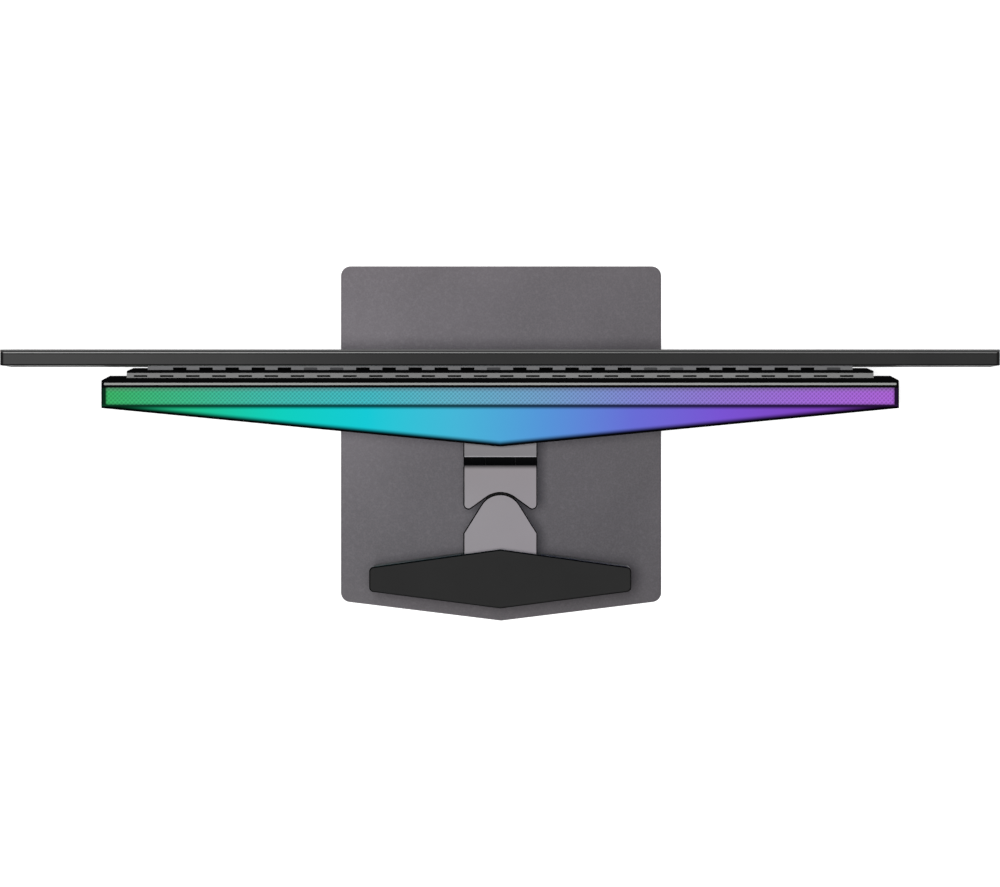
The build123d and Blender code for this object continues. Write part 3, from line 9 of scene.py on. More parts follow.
import bmesh
import bpy
import numpy as np
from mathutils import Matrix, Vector


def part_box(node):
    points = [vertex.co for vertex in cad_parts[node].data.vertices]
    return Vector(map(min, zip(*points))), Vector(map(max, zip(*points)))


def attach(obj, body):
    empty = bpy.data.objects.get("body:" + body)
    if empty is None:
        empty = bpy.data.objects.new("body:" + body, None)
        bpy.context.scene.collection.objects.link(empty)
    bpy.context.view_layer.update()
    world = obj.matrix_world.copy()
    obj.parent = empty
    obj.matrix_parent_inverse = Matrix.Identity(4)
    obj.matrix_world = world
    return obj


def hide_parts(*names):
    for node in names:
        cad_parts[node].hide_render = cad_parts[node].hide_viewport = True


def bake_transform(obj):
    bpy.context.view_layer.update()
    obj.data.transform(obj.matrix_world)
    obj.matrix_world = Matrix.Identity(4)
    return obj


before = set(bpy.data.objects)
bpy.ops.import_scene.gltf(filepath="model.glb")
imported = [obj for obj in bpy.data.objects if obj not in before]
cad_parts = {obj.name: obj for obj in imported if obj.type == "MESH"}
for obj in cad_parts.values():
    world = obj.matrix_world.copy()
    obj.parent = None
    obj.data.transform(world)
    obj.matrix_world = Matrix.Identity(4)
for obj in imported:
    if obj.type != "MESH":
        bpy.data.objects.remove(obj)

# Desktop display seen as a whole: a thin panel, a lit V-shaped housing behind
# it, and a stand. X runs along the screen, the screen faces -Y, Z is up.
# Metres throughout; MM turns millimetres into metres.

MM = 0.001
MERGE = 0.001 * MM       # points nearer than this are one point
TOUCH = 0.01 * MM        # points nearer than this to a plane lie on it
KNURL = 0.05             # share of its radius that a knurled ring dips by
WIDE = 0.97              # share of the largest radius that counts as widest
SMOOTH = radians(35)     # flatter edges are shaded smooth
FLAT = radians(0.5)      # flatter edges between triangles are dissolved
CREASE = radians(38)     # sharper edges are rounded
LOG = logging.getLogger("display")

Array = np.ndarray
Span = tuple[float, float]
Socket = bpy.types.NodeSocket
Value = float | Socket
Colour = str | Socket


# ------------------------------------------------------------------- surfaces
class Facing(Enum):
    """Where the +Z axis of a turned part points once it is in place."""

    UP = ((1, 0, 0), (0, 1, 0), (0, 0, 1))
    DOWN = ((1, 0, 0), (0, -1, 0), (0, 0, -1))
    BACK = ((1, 0, 0), (0, 0, 1), (0, -1, 0))
    FRONT = ((1, 0, 0), (0, 0, -1), (0, 1, 0))


@dataclass
class Surface:
    """Points and faces of a mesh, as whole arrays.

    Each entry of faces holds rows of point numbers, one row for each face.
    """

    points: Array
    faces: list[Array]

    def __add__(self, other: "Surface") -> "Surface":
        """Both surfaces as one."""
        later = [block + len(self.points) for block in other.faces]
        return Surface(np.vstack([self.points, other.points]), self.faces + later)

    def placed(self, facing: Facing, at: Sequence[float]) -> "Surface":
        """Turned so that +Z points as facing says, then moved to at."""
        turn = np.array(facing.value, float)
        return Surface(self.points @ turn.T + np.array(at, float), self.faces)

    def mesh(self, name: str, closed: bool = True) -> bpy.types.Mesh:
        """Makes the Blender mesh.

        Args:
            name: The mesh's name.
            closed: Whether the surface is a closed shell, whose faces are then
                turned outwards.

        Returns:
            The mesh, smooth except at sharp edges.
        """
        mesh = bpy.data.meshes.new(name)
        rows = [row for block in self.faces for row in block.tolist()]
        mesh.from_pydata(self.points.tolist(), [], rows)
        if closed:
            work = bmesh.new()
            work.from_mesh(mesh)
            bmesh.ops.recalc_face_normals(work, faces=work.faces)
            work.to_mesh(mesh)
            work.free()
        mesh.shade_smooth()
        mesh.set_sharp_from_angle(angle=SMOOTH)
        return mesh


def total(surfaces: Sequence[Surface]) -> Surface:
    """All the surfaces as one."""
    return reduce(add, surfaces)


def tube(loops: Array, capped: bool = True) -> Surface:
    """Skins a stack of closed loops.

    Point j of loop i is joined to point j + 1 and to the same two points of
    loop i + 1, and the last point of a loop to its first.

    Args:
        loops: Array of loops x points x 3.
        capped: Whether flat faces close the first and last loop.

    Returns:
        The surface, with the points in the order of the array.
    """
    rows, sides, _ = loops.shape
    index = np.arange(rows * sides).reshape(rows, sides)
    ahead = np.roll(index, -1, axis=1)
    quads = np.stack([index[:-1], ahead[:-1], ahead[1:], index[1:]], axis=-1)
    faces = [quads.reshape(-1, 4)]
    if capped:
        faces += [index[:1, ::-1], index[-1:]]
    return Surface(loops.reshape(-1, 3), faces)


def lattice(points: Array, keep: Array | None = None) -> Surface:
    """Skins an open grid of points.

    Args:
        points: Array of rows x columns x 3; the surface faces along the cross
            product of the column direction and the row direction.
        keep: For each cell, whether it is there; all are by default.

    Returns:
        The surface.
    """
    rows, columns, _ = points.shape
    index = np.arange(rows * columns).reshape(rows, columns)
    cells = np.stack([index[:-1, :-1], index[:-1, 1:], index[1:, 1:], index[1:, :-1]], axis=-1)
    cells = cells.reshape(-1, 4) if keep is None else cells[keep]
    return Surface(points.reshape(-1, 3), [cells])


def zigzag(value: Array) -> Array:
    """Triangle wave of period 1: 1 at whole numbers and 0 half way between."""
    return np.abs(2 * (value - np.floor(value)) - 1)


class Section(Enum):
    """Cross-sections of a turned part."""

    ROUND = 0
    HEXAGON = 6
    KNURLED = 24


@dataclass(frozen=True)
class Ring:
    """One ring of a turned part: its radius, height and cross-section."""

    radius: float
    height: float
    section: Section = Section.ROUND

    def loop(self, sides: int) -> Array:
        """Points round the ring.

        A hexagon's radius is its corner radius times cos(30) over the cosine
        of the angle from the nearest side's middle. A knurled ring's radius
        dips by the share KNURL, as a triangle wave with 24 teeth to the turn.

        Args:
            sides: Number of points.

        Returns:
            Array of sides x 3.
        """
        turn = np.arange(sides) / sides
        scale = np.ones(sides)
        if self.section is Section.HEXAGON:
            sixth = 2 * pi / self.section.value
            scale = np.cos(sixth / 2) / np.cos((turn * 2 * pi) % sixth - sixth / 2)
        if self.section is Section.KNURLED:
            scale = 1 - KNURL + KNURL * zigzag(turn * self.section.value)
        radius = self.radius * scale
        x, y = radius * np.cos(2 * pi * turn), radius * np.sin(2 * pi * turn)
        return np.stack([x, y, np.full(sides, self.height)], axis=-1)


def profile(rows: Sequence[Span], radius: float, height: float) -> list[Ring]:
    """Rings from rows that hold a share of radius and a rise above height."""
    return [Ring(share * radius, height + rise) for share, rise in rows]


def turned(rings: Sequence[Ring], sides: int = 48) -> Surface:
    """A solid of revolution about +Z, skinned over its rings in order."""
    return tube(np.stack([ring.loop(sides) for ring in rings]))


# -------------------------------------------------------- solids of the frame
def welded(node: str) -> tuple[Array, Array]:
    """A solid's loose triangles with equal corners joined.

    Args:
        node: Name of the CAD node.

    Returns:
        Points (n x 3) and triangles (m x 3), without collapsed ones.
    """
    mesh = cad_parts[node].data
    places = np.empty(len(mesh.vertices) * 3, np.float32)
    mesh.vertices.foreach_get("co", places)
    mesh.calc_loop_triangles()
    corners = np.empty(len(mesh.loop_triangles) * 3, np.int32)
    mesh.loop_triangles.foreach_get("vertices", corners)
    keys = np.round(places.reshape(-1, 3) / MERGE).astype(np.int64)
    _, first, same = np.unique(keys, axis=0, return_index=True, return_inverse=True)
    triangles = same.reshape(-1)[corners].reshape(-1, 3)
    ahead = np.roll(triangles, -1, axis=1)
    sound = (triangles != ahead).all(axis=1)
    return places.reshape(-1, 3)[first].astype(float), triangles[sound]


def solids(node: str) -> list[Array]:
    """The points of each separate solid of a node.

    Every point starts with its own number as a label, and the lowest label of
    each triangle spreads to its corners until nothing changes.

    Args:
        node: Name of the CAD node.

    Returns:
        One array of points for each solid.
    """
    points, triangles = welded(node)
    labels = np.arange(len(points))
    changed = True
    while changed:
        lowest = np.repeat(labels[triangles].min(axis=1), 3)
        spread = labels.copy()
        np.minimum.at(spread, triangles.ravel(), lowest)
        changed = bool((spread != labels).any())
        labels = spread
    return [points[labels == label] for label in np.unique(labels)]


def extent(points: Array) -> tuple[Array, Array]:
    """The lowest and the highest corner of the points' box."""
    return points.min(axis=0), points.max(axis=0)


def radii(points: Array, middle: Array, axis: int) -> Array:
    """Each point's distance from the line through middle along an axis."""
    return np.linalg.norm(np.delete(points - middle, axis, axis=1), axis=1)


def widest(points: Array, axis: int) -> tuple[float, Array]:
    """Where a round solid is widest.

    Args:
        points: The solid's points.
        axis: Number of the axis that it is round about.

    Returns:
        Its largest radius, and where along the axis the points lie that have
        at least the share WIDE of it.
    """
    low, high = extent(points)
    reach = radii(points, (low + high) / 2, axis)
    return reach.max(), points[reach > WIDE * reach.max(), axis]


def dress(finish: "Finish", *nodes: str) -> None:
    """Gives CAD nodes a finish.

    Args:
        finish: The surface.
        nodes: Names of the CAD nodes that take it.
    """
    for node in nodes:
        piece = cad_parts[node]
        if not piece.material_slots:
            piece.data.materials.append(finish.material)
        for slot in piece.material_slots:
            slot.material = finish.material
        LOG.info("%s: %s", node, finish.name)


def linked(name: str, data: bpy.types.ID) -> bpy.types.Object:
    """Makes an object in the scene.

    Args:
        name: Its name.
        data: Its mesh, lamp or camera.

    Returns:
        The object.
    """
    thing = bpy.data.objects.new(name, data)
    bpy.context.scene.collection.objects.link(thing)
    return thing


def marked(mesh: bpy.types.Mesh, name: str, values: Array) -> None:
    """Stores one number for each point of a mesh."""
    marks = mesh.attributes.new(name, "FLOAT", "POINT")
    marks.data.foreach_set("value", values.ravel().astype(np.float32))


def walled(piece: bpy.types.Object, thickness: float, offset: float) -> None:
    """Gives an open sheet its thickness.

    Args:
        piece: The sheet.
        thickness: How thick it gets, in metres.
        offset: -1 puts the thickness behind the sheet, and 0 half on each side.
    """
    wall = piece.modifiers.new("wall", "SOLIDIFY")
    wall.thickness = thickness
    wall.offset = offset


def add_piece(
    name: str,
    mesh: bpy.types.Mesh,
    body: str,
    finish: "Finish",
    stands_for: Sequence[str] = (),
) -> bpy.types.Object:
    """Puts a modelled piece into the scene.

    Args:
        name: Name of the piece.
        mesh: Its mesh, in place.
        body: The moving body that carries it.
        finish: Its surface.
        stands_for: CAD nodes that it replaces.

    Returns:
        The object.
    """
    piece = linked(name, mesh)
    mesh.materials.append(finish.material)
    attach(piece, body)
    if stands_for:
        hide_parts(*stands_for)
    LOG.info("%s: %d faces on %s", name, len(mesh.polygons), body)
    return piece


def eased(
    node: str, body: str, finish: "Finish", edge: float, segments: int = 2
) -> bpy.types.Object:
    """A solid with its edges rounded, in place of the CAD node.

    Args:
        node: Name of the CAD node.
        body: The moving body that carries it.
        finish: Its surface.
        edge: Width of the rounded edges, in metres.
        segments: Faces across a rounded edge.

    Returns:
        The object.
    """
    points, triangles = welded(node)
    mesh = bpy.data.meshes.new(node + "_eased")
    mesh.from_pydata(points.tolist(), [], triangles.tolist())
    work = bmesh.new()
    work.from_mesh(mesh)
    bmesh.ops.dissolve_limit(work, angle_limit=FLAT, verts=work.verts, edges=work.edges)
    work.to_mesh(mesh)
    work.free()
    mesh.shade_smooth()
    piece = add_piece(node + "_eased", mesh, body, finish, [node])
    rounding = piece.modifiers.new("rounded edges", "BEVEL")
    rounding.width = edge
    rounding.segments = segments
    rounding.limit_method = "ANGLE"
    rounding.angle_limit = CREASE
    rounding.harden_normals = True
    return piece


# ------------------------------------------------------------------- finishes
def tone(code: str) -> tuple[float, float, float, float]:
    """Turns a colour code into linear values.

    Args:
        code: Such as "#948f93".

    Returns:
        Red, green and blue, and 1 for alpha.
    """
    channels = np.array([int(code[at:at + 2], 16) for at in (1, 3, 5)]) / 255
    low, high = channels / 12.92, ((channels + 0.055) / 1.055) ** 2.4
    return (*np.where(channels <= 0.04045, low, high).tolist(), 1.0)


class NodeTree:
    """The shader nodes of a material or of the surround."""

    def __init__(self, owner: bpy.types.Material | bpy.types.World) -> None:
        """Starts the owner's nodes from nothing.

        Args:
            owner: The material or the surround.
        """
        owner.use_nodes = True
        self.tree = owner.node_tree
        self.tree.nodes.clear()

    def node(self, kind: str) -> bpy.types.Node:
        """A new node of that kind."""
        return self.tree.nodes.new(kind)

    def feed(self, socket: Socket, value: object) -> None:
        """Links an input to another node, or sets it to a constant.

        Args:
            socket: The input.
            value: A socket, a colour code or a constant.
        """
        if isinstance(value, Socket):
            self.tree.links.new(value, socket)
        else:
            socket.default_value = tone(value) if isinstance(value, str) else value

    def feed_all(self, step: bpy.types.Node, values: Sequence[object]) -> Socket:
        """Feeds a node's inputs in order.

        Args:
            step: The node.
            values: What its inputs get.

        Returns:
            The node's first output.
        """
        for socket, value in zip(step.inputs, values):
            self.feed(socket, value)
        return step.outputs[0]

    def maths(self, operation: str, *values: Value) -> Socket:
        """One arithmetic step on numbers or sockets.

        Args:
            operation: Blender's name for it.
            values: What it works on.

        Returns:
            The result.
        """
        step = self.node("ShaderNodeMath")
        step.operation = operation
        return self.feed_all(step, values)

    def seen(self) -> Socket:
        """1 for rays from the camera, and for those off a gloss or through glass."""
        path = self.node("ShaderNodeLightPath").outputs
        return self.most(*(path[f"Is {ray} Ray"] for ray in ("Camera", "Glossy", "Transmission")))

    def most(self, first: Socket, *others: Value) -> Socket:
        """The largest of some shares or levels."""
        return reduce(partial(self.maths, "MAXIMUM"), others, first)

    def product(self, first: Socket, *others: Value) -> Socket:
        """The product of some shares or levels."""
        return reduce(partial(self.maths, "MULTIPLY"), others, first)


class NodeSheet(NodeTree):
    """The shader nodes of one material, with a method for each kind of step."""

    def __init__(self, name: str) -> None:
        """Starts a material with one shader and the object's coordinates.

        Args:
            name: Name of the material.
        """
        self.material = bpy.data.materials.new(name)
        super().__init__(self.material)
        self.shader = self.node("ShaderNodeBsdfPrincipled")
        self.feed(self.node("ShaderNodeOutputMaterial").inputs[0], self.shader.outputs[0])
        self.place = self.node("ShaderNodeTexCoord").outputs["Object"]
        split = self.node("ShaderNodeSeparateXYZ")
        self.feed(split.inputs[0], self.place)
        self.x, self.y, self.z = split.outputs

    @cached_property
    def across(self) -> Socket:
        """Distance from the object's middle plane, |X|."""
        return self.maths("ABSOLUTE", self.x)

    def set(self, name: str, value: object) -> None:
        """Feeds an input of the shader."""
        self.feed(self.shader.inputs[name], value)

    def rise(self, value: Value, low: float, high: float) -> Socket:
        """A smooth step from 0 to 1.

        Args:
            value: The number that it follows.
            low: Where it starts; may be above high.
            high: Where it ends.

        Returns:
            0 up to low and 1 from high on.
        """
        step = self.node("ShaderNodeMapRange")
        step.interpolation_type = "SMOOTHSTEP"
        ends = (low, high, 0.0, 1.0) if low < high else (high, low, 1.0, 0.0)
        return self.feed_all(step, (value, *ends))

    def between(self, share: Socket, low: float, high: float) -> Socket:
        """Turns a share from 0 to 1 into a number from low to high."""
        return self.maths("MULTIPLY_ADD", share, high - low, low)

    def past(self, value: Value, place: float, span: Span) -> Socket:
        """A rise whose two ends are measured from a place."""
        return self.rise(value, place + span[0], place + span[1])

    def window(self, value: Socket, low: float, high: float, soft: float) -> Socket:
        """1 between low and high, falling to 0 over soft on both sides."""
        ends = self.past(value, low, (-soft, 0.0)), self.past(value, high, (soft, 0.0))
        return self.product(*ends)

    def distance(self, value: Socket, middle: float) -> Socket:
        """How far a number is from a middle one."""
        return self.maths("ABSOLUTE", self.maths("SUBTRACT", value, middle))

    def stretched(self, stretch: Sequence[float]) -> Socket:
        """Object coordinates, scaled.

        Args:
            stretch: One factor for each axis.

        Returns:
            The scaled coordinates.
        """
        step = self.node("ShaderNodeMapping")
        self.feed(step.inputs["Vector"], self.place)
        step.inputs["Scale"].default_value = stretch
        return step.outputs[0]

    def noise(self, size: float, detail: float = 2.0, stretch: Sequence[float] = ()) -> Socket:
        """Soft noise.

        Args:
            size: About how wide its spots are, in metres.
            detail: How many finer layers it has.
            stretch: One factor for each axis, or none.

        Returns:
            The noise, from 0 to 1.
        """
        step = self.node("ShaderNodeTexNoise")
        self.feed(step.inputs["Vector"], self.stretched(stretch) if stretch else self.place)
        step.inputs["Scale"].default_value = 1 / size
        step.inputs["Detail"].default_value = detail
        return step.outputs[0]

    def cells(self, size: float) -> Socket:
        """Random cells.

        Args:
            size: About how wide they are, in metres.

        Returns:
            Distance from the nearest cell's middle.
        """
        step = self.node("ShaderNodeTexVoronoi")
        self.feed(step.inputs["Vector"], self.place)
        step.inputs["Scale"].default_value = 1 / size
        return step.outputs["Distance"]

    def mix(self, share: Value, first: Colour, second: Colour) -> Socket:
        """Mixes two colours.

        Args:
            share: How much of the second one there is.
            first: The colour where share is 0.
            second: The colour where it is 1.

        Returns:
            The mixed colour.
        """
        step = self.node("ShaderNodeMix")
        step.data_type = "RGBA"
        self.feed(step.inputs[0], share)
        self.feed(step.inputs[6], first)
        self.feed(step.inputs[7], second)
        return step.outputs[2]

    def dimmed(self, colour: Socket, level: Value) -> Socket:
        """A colour times a number.

        Args:
            colour: The colour.
            level: The number.

        Returns:
            The darker or lighter colour.
        """
        step = self.node("ShaderNodeVectorMath")
        step.operation = "SCALE"
        self.feed(step.inputs[0], colour)
        self.feed(step.inputs["Scale"], level)
        return step.outputs[0]

    def ramp(self, share: Socket, colours: Sequence[str]) -> Socket:
        """A row of evenly spaced colours.

        Args:
            share: Place in the row, from 0 to 1.
            colours: The colours' codes.

        Returns:
            The colour at that place.
        """
        step = self.node("ShaderNodeValToRGB")
        stops = step.color_ramp.elements
        for index in range(1, len(colours) - 1):
            stops.new(index / (len(colours) - 1))
        for stop, code in zip(stops, colours):
            stop.color = tone(code)
        self.feed(step.inputs[0], share)
        return step.outputs[0]

    def attribute(self, name: str) -> Socket:
        """A number stored at the piece's own points.

        Args:
            name: Its name.

        Returns:
            The number.
        """
        step = self.node("ShaderNodeAttribute")
        step.attribute_name = name
        return step.outputs["Fac"]

    def relief(self, height: Socket, depth: float) -> None:
        """Bumps the surface.

        Args:
            height: Height from 0 to 1.
            depth: What it is multiplied by, in metres.
        """
        step = self.node("ShaderNodeBump")
        step.inputs["Distance"].default_value = depth
        self.feed(step.inputs["Height"], height)
        self.set("Normal", step.outputs[0])


class Relief(Enum):
    """Kinds of fine relief."""

    GRAIN = "fine even grain"
    BLASTED = "pits of blasted metal"
    BRUSHED = "fine scratches along X"
    DRAWN = "fine scratches along Z"


@dataclass(frozen=True)
class Finish:
    """A surface with slightly uneven colour and gloss, and a fine relief.

    mottle is the share by which the colour varies from patch to patch and from
    grain to grain; grain and depth are the relief's width and height.
    """

    name: str
    colour: str
    rough: float = 0.5
    metal: float = 0.0
    gloss: float = 0.3
    mottle: float = 0.05
    mottle_span: Span = (-1.6, 0.6)     # darkest and lightest, in shares of mottle
    relief: Relief = Relief.GRAIN
    grain: float = 0.45 * MM
    depth: float = 0.008 * MM
    patch: float = 60 * MM          # size of the patches of colour
    sheen_patch: float = 28 * MM    # size of the patches of roughness
    sheen_swing: float = 0.06       # how far the roughness varies either way

    @cached_property
    def material(self) -> bpy.types.Material:
        """The finish as a material, made once."""
        sheet = NodeSheet(self.name)
        self.lay(sheet)
        return sheet.material

    def lay(self, sheet: NodeSheet) -> None:
        """Sets colour, gloss and relief.

        Args:
            sheet: The material's nodes.
        """
        sheet.set("Base Color", self.tint(sheet))
        sheet.set("Metallic", self.metal)
        sheet.set("Specular IOR Level", self.gloss)
        low, high = self.rough - self.sheen_swing, self.rough + self.sheen_swing
        sheet.set("Roughness", sheet.between(sheet.noise(self.sheen_patch), low, high))
        sheet.relief(self.texture(sheet), self.depth)

    def plain(self, sheet: NodeSheet) -> Colour:
        """The colour before it is mottled."""
        return self.colour

    def tint(self, sheet: NodeSheet) -> Socket:
        """Darkens and lightens the colour in broad patches and from grain to grain.

        Args:
            sheet: The material's nodes.

        Returns:
            The mottled colour.
        """
        patches = sheet.noise(self.patch)
        uneven = sheet.maths("ADD", patches, self.texture(sheet))
        low, high = (1 + self.mottle * share for share in self.mottle_span)
        level = sheet.between(uneven, low, high)
        base = self.plain(sheet)
        if not isinstance(base, Socket):
            base = sheet.mix(patches, base, base)
        return sheet.dimmed(base, level)

    def texture(self, sheet: NodeSheet) -> Socket:
        """The pattern of the fine relief.

        Args:
            sheet: The material's nodes.

        Returns:
            Its height, from 0 to 1.
        """
        if self.relief is Relief.BLASTED:
            return sheet.product(sheet.cells(self.grain), sheet.noise(self.grain * 2.5))
        stretch = {
            Relief.GRAIN: (),
            Relief.BRUSHED: (0.02, 1.0, 1.0),
            Relief.DRAWN: (1.0, 1.0, 0.02),
        }[self.relief]
        return sheet.noise(self.grain, 3.0, stretch)


@dataclass(frozen=True)
class PaintedLightGraded(Finish):
    """Painted light: the colour drifts across the object, from colour to far.

    The drift runs in plan along the direction toward, from start to end.
    """

    # the darker end of the painted light
    far: str = "#000000"
    toward: tuple[float, float] = (-1.0, 0.0)
    start: float = -300 * MM
    end: float = 0.0

    def plain(self, sheet: NodeSheet) -> Colour:
        """Mixes the two colours by the place along the drift.

        Args:
            sheet: The material's nodes.

        Returns:
            The colour.
        """
        along_x = sheet.maths("MULTIPLY", sheet.x, self.toward[0])
        along = sheet.maths("MULTIPLY_ADD", sheet.y, self.toward[1], along_x)
        return sheet.mix(sheet.rise(along, self.start, self.end), self.colour, self.far)


@dataclass(frozen=True)
class CoverPlastic(PaintedLightGraded):
    """The panel's back cover: a painted highlight and painted shade along its seam,
    painted shade along the rear edge of its top, and darker ends.

    A strip's span is measured from the seam, the rear edge, the top or an end.
    """

    seam_y: float = 0.0
    back_y: float = 0.0
    half_width: float = 0.0
    top: float = 0.0
    # painted shade beside the seam
    shade: float = 0.62
    shade_span: Span = (1.5 * MM, 1.2 * MM)
    # painted highlight along the seam, paler towards +X
    line: str = "#b8b8b8"
    far_highlight: str = "#888888"
    highlight_span: Span = (0.55 * MM, 0.4 * MM)
    highlight_drift: Span = (200 * MM, -200 * MM)
    # painted shade on the top along the rear edge
    rear: str = "#040404"
    rear_span: Span = (-1.0 * MM, -0.7 * MM)
    top_span: Span = (-1.0 * MM, 0.0)
    tip: str = "#0c0c0c"
    tip_span: Span = (-2.4 * MM, -1.4 * MM)

    def plain(self, sheet: NodeSheet) -> Colour:
        """Lays the painted highlight line, the painted shade and the dark ends over the painted
        light drift.

        Args:
            sheet: The material's nodes.

        Returns:
            The colour.
        """
        # painted shade behind the seam, the painted highlight on it, and painted shade along the
        # rear edge of the top
        shade = sheet.past(sheet.y, self.seam_y, self.shade_span)
        base = sheet.dimmed(super().plain(sheet), sheet.between(shade, 1.0, self.shade))
        line = sheet.mix(sheet.rise(sheet.x, *self.highlight_drift), self.line, self.far_highlight)
        base = sheet.mix(sheet.past(sheet.y, self.seam_y, self.highlight_span), base, line)
        rear = sheet.past(sheet.y, self.back_y, self.rear_span)
        on_top = sheet.past(sheet.z, self.top, self.top_span)
        base = sheet.mix(sheet.product(rear, on_top), base, self.rear)
        return sheet.mix(sheet.past(sheet.across, self.half_width, self.tip_span), base, self.tip)


@dataclass(frozen=True)
class RimPlastic(PaintedLightGraded):
    """The front rim, with a painted shadow along its rear edge where it meets the cover."""

    # painted shadow where the rim meets the cover
    gap_shadow: str = "#101010"
    gap_shadow_span: Span = (-0.9 * MM, -0.75 * MM)    # from the rim's rear plane

    def plain(self, sheet: NodeSheet) -> Colour:
        """The painted light drift, with a painted shadow along the rim's rear edge."""
        gap_shadow = sheet.past(sheet.y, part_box("front_bezel")[1].y, self.gap_shadow_span)
        return sheet.mix(gap_shadow, super().plain(sheet), self.gap_shadow)


@dataclass(frozen=True)
class OutlinedMetal(Finish):
    """Painted metal, with shade painted dark on the broken edges round the top face.

    The band from edge_depth to skin below top is painted dark as shade, and so are
    the sides beyond side_x. From lip_y back a highlight is painted. The colour comes
    up from a painted shadow between shade_y's two places. Behind pit_y, what lies
    deeper than pit_span below top and within pit_x of the middle is painted dark as
    shade in the recess.
    """

    top: float = 0.0
    edge_depth: float = 0.8 * MM
    skin: float = 0.07 * MM
    edge_soft: float = 0.04 * MM
    # colour of the painted shade and shadow
    dark: str = "#040404"
    side_x: float = 1.0
    side_span: Span = (0.0, 0.15 * MM)
    # colour of the painted highlight
    lip_highlight: str = "#c8c6c9"
    lip_y: float = 1.0
    lip_span: Span = (-0.7 * MM, -0.5 * MM)
    shade_y: Span = (-2.0, -1.0)
    pit_x: float = 0.0
    pit_y: float = 1.0
    pit_soft: float = 0.1 * MM
    pit_span: Span = (-1.5 * MM, -2.5 * MM)

    def edge(self, sheet: NodeSheet) -> Socket:
        """Finds where shade is painted dark: the broken edges, the sides and the recess.

        Args:
            sheet: The material's nodes.

        Returns:
            1 on them and 0 elsewhere.
        """
        rim = sheet.window(
            sheet.z, self.top - self.edge_depth, self.top - self.skin, self.edge_soft
        )
        sides = sheet.past(sheet.across, self.side_x, self.side_span)
        pit_shade = sheet.product(
            sheet.past(sheet.across, self.pit_x, (self.pit_soft, 0.0)),
            sheet.past(sheet.y, self.pit_y, (-self.pit_soft, 0.0)),
            sheet.past(sheet.z, self.top, self.pit_span),
        )
        return sheet.most(rim, sides, pit_shade)

    def plain(self, sheet: NodeSheet) -> Colour:
        """Adds the painted shadow at the front, the painted highlight and the painted shade.

        Args:
            sheet: The material's nodes.

        Returns:
            The colour.
        """
        base = sheet.mix(sheet.rise(sheet.y, *self.shade_y), self.dark, self.colour)
        lip_highlight = sheet.past(sheet.y, self.lip_y, self.lip_span)
        return sheet.mix(self.edge(sheet), sheet.mix(lip_highlight, base, self.lip_highlight), self.dark)


@dataclass(frozen=True)
class VentPlastic(Finish):
    """A grille: grey outside, with shade painted black inside its slots.

    reach is how far from the middle in X and Z the slots' insides go.
    """

    middle_z: float = 0.0
    reach: Span = (1.0, 1.0)
    # painted shade inside the slots
    inside: str = "#020202"
    span: Span = (0.0, -0.1 * MM)

    def plain(self, sheet: NodeSheet) -> Colour:
        """Paints shade black on what lies within reach of the middle.

        Args:
            sheet: The material's nodes.

        Returns:
            The colour.
        """
        up = sheet.distance(sheet.z, self.middle_z)
        inside = sheet.product(
            sheet.past(up, self.reach[1], self.span),
            sheet.past(sheet.across, self.reach[0], self.span),
        )
        return sheet.mix(inside, self.colour, self.inside)


@dataclass(frozen=True)
class LitFinish(Finish):
    """A lens or diffuser lit from behind by a row of coloured lights.

    colours are evenly spaced over the housing, from its +X end to its -X end.
    """

    colours: tuple[str, ...] = ()
    half_width: float = 245 * MM

    def lay(self, sheet: NodeSheet) -> None:
        """Adds the glow to the plain surface.

        Args:
            sheet: The material's nodes.
        """
        super().lay(sheet)
        sheet.set("Emission Color", sheet.dimmed(self.light(sheet), self.level(sheet)))
        sheet.set("Emission Strength", 1.0)

    def light(self, sheet: NodeSheet) -> Socket:
        """The colour of the lights behind each place."""
        share = sheet.maths("MULTIPLY_ADD", sheet.x, -0.5 / self.half_width, 0.5)
        return sheet.ramp(share, self.colours)

    def level(self, sheet: NodeSheet) -> Value:
        """How much of the light comes through, place by place."""
        return 1.0

    def inset(self, sheet: NodeSheet) -> Socket:
        """Distance from the housing's nearer end."""
        return sheet.maths("SUBTRACT", self.half_width, sheet.across)


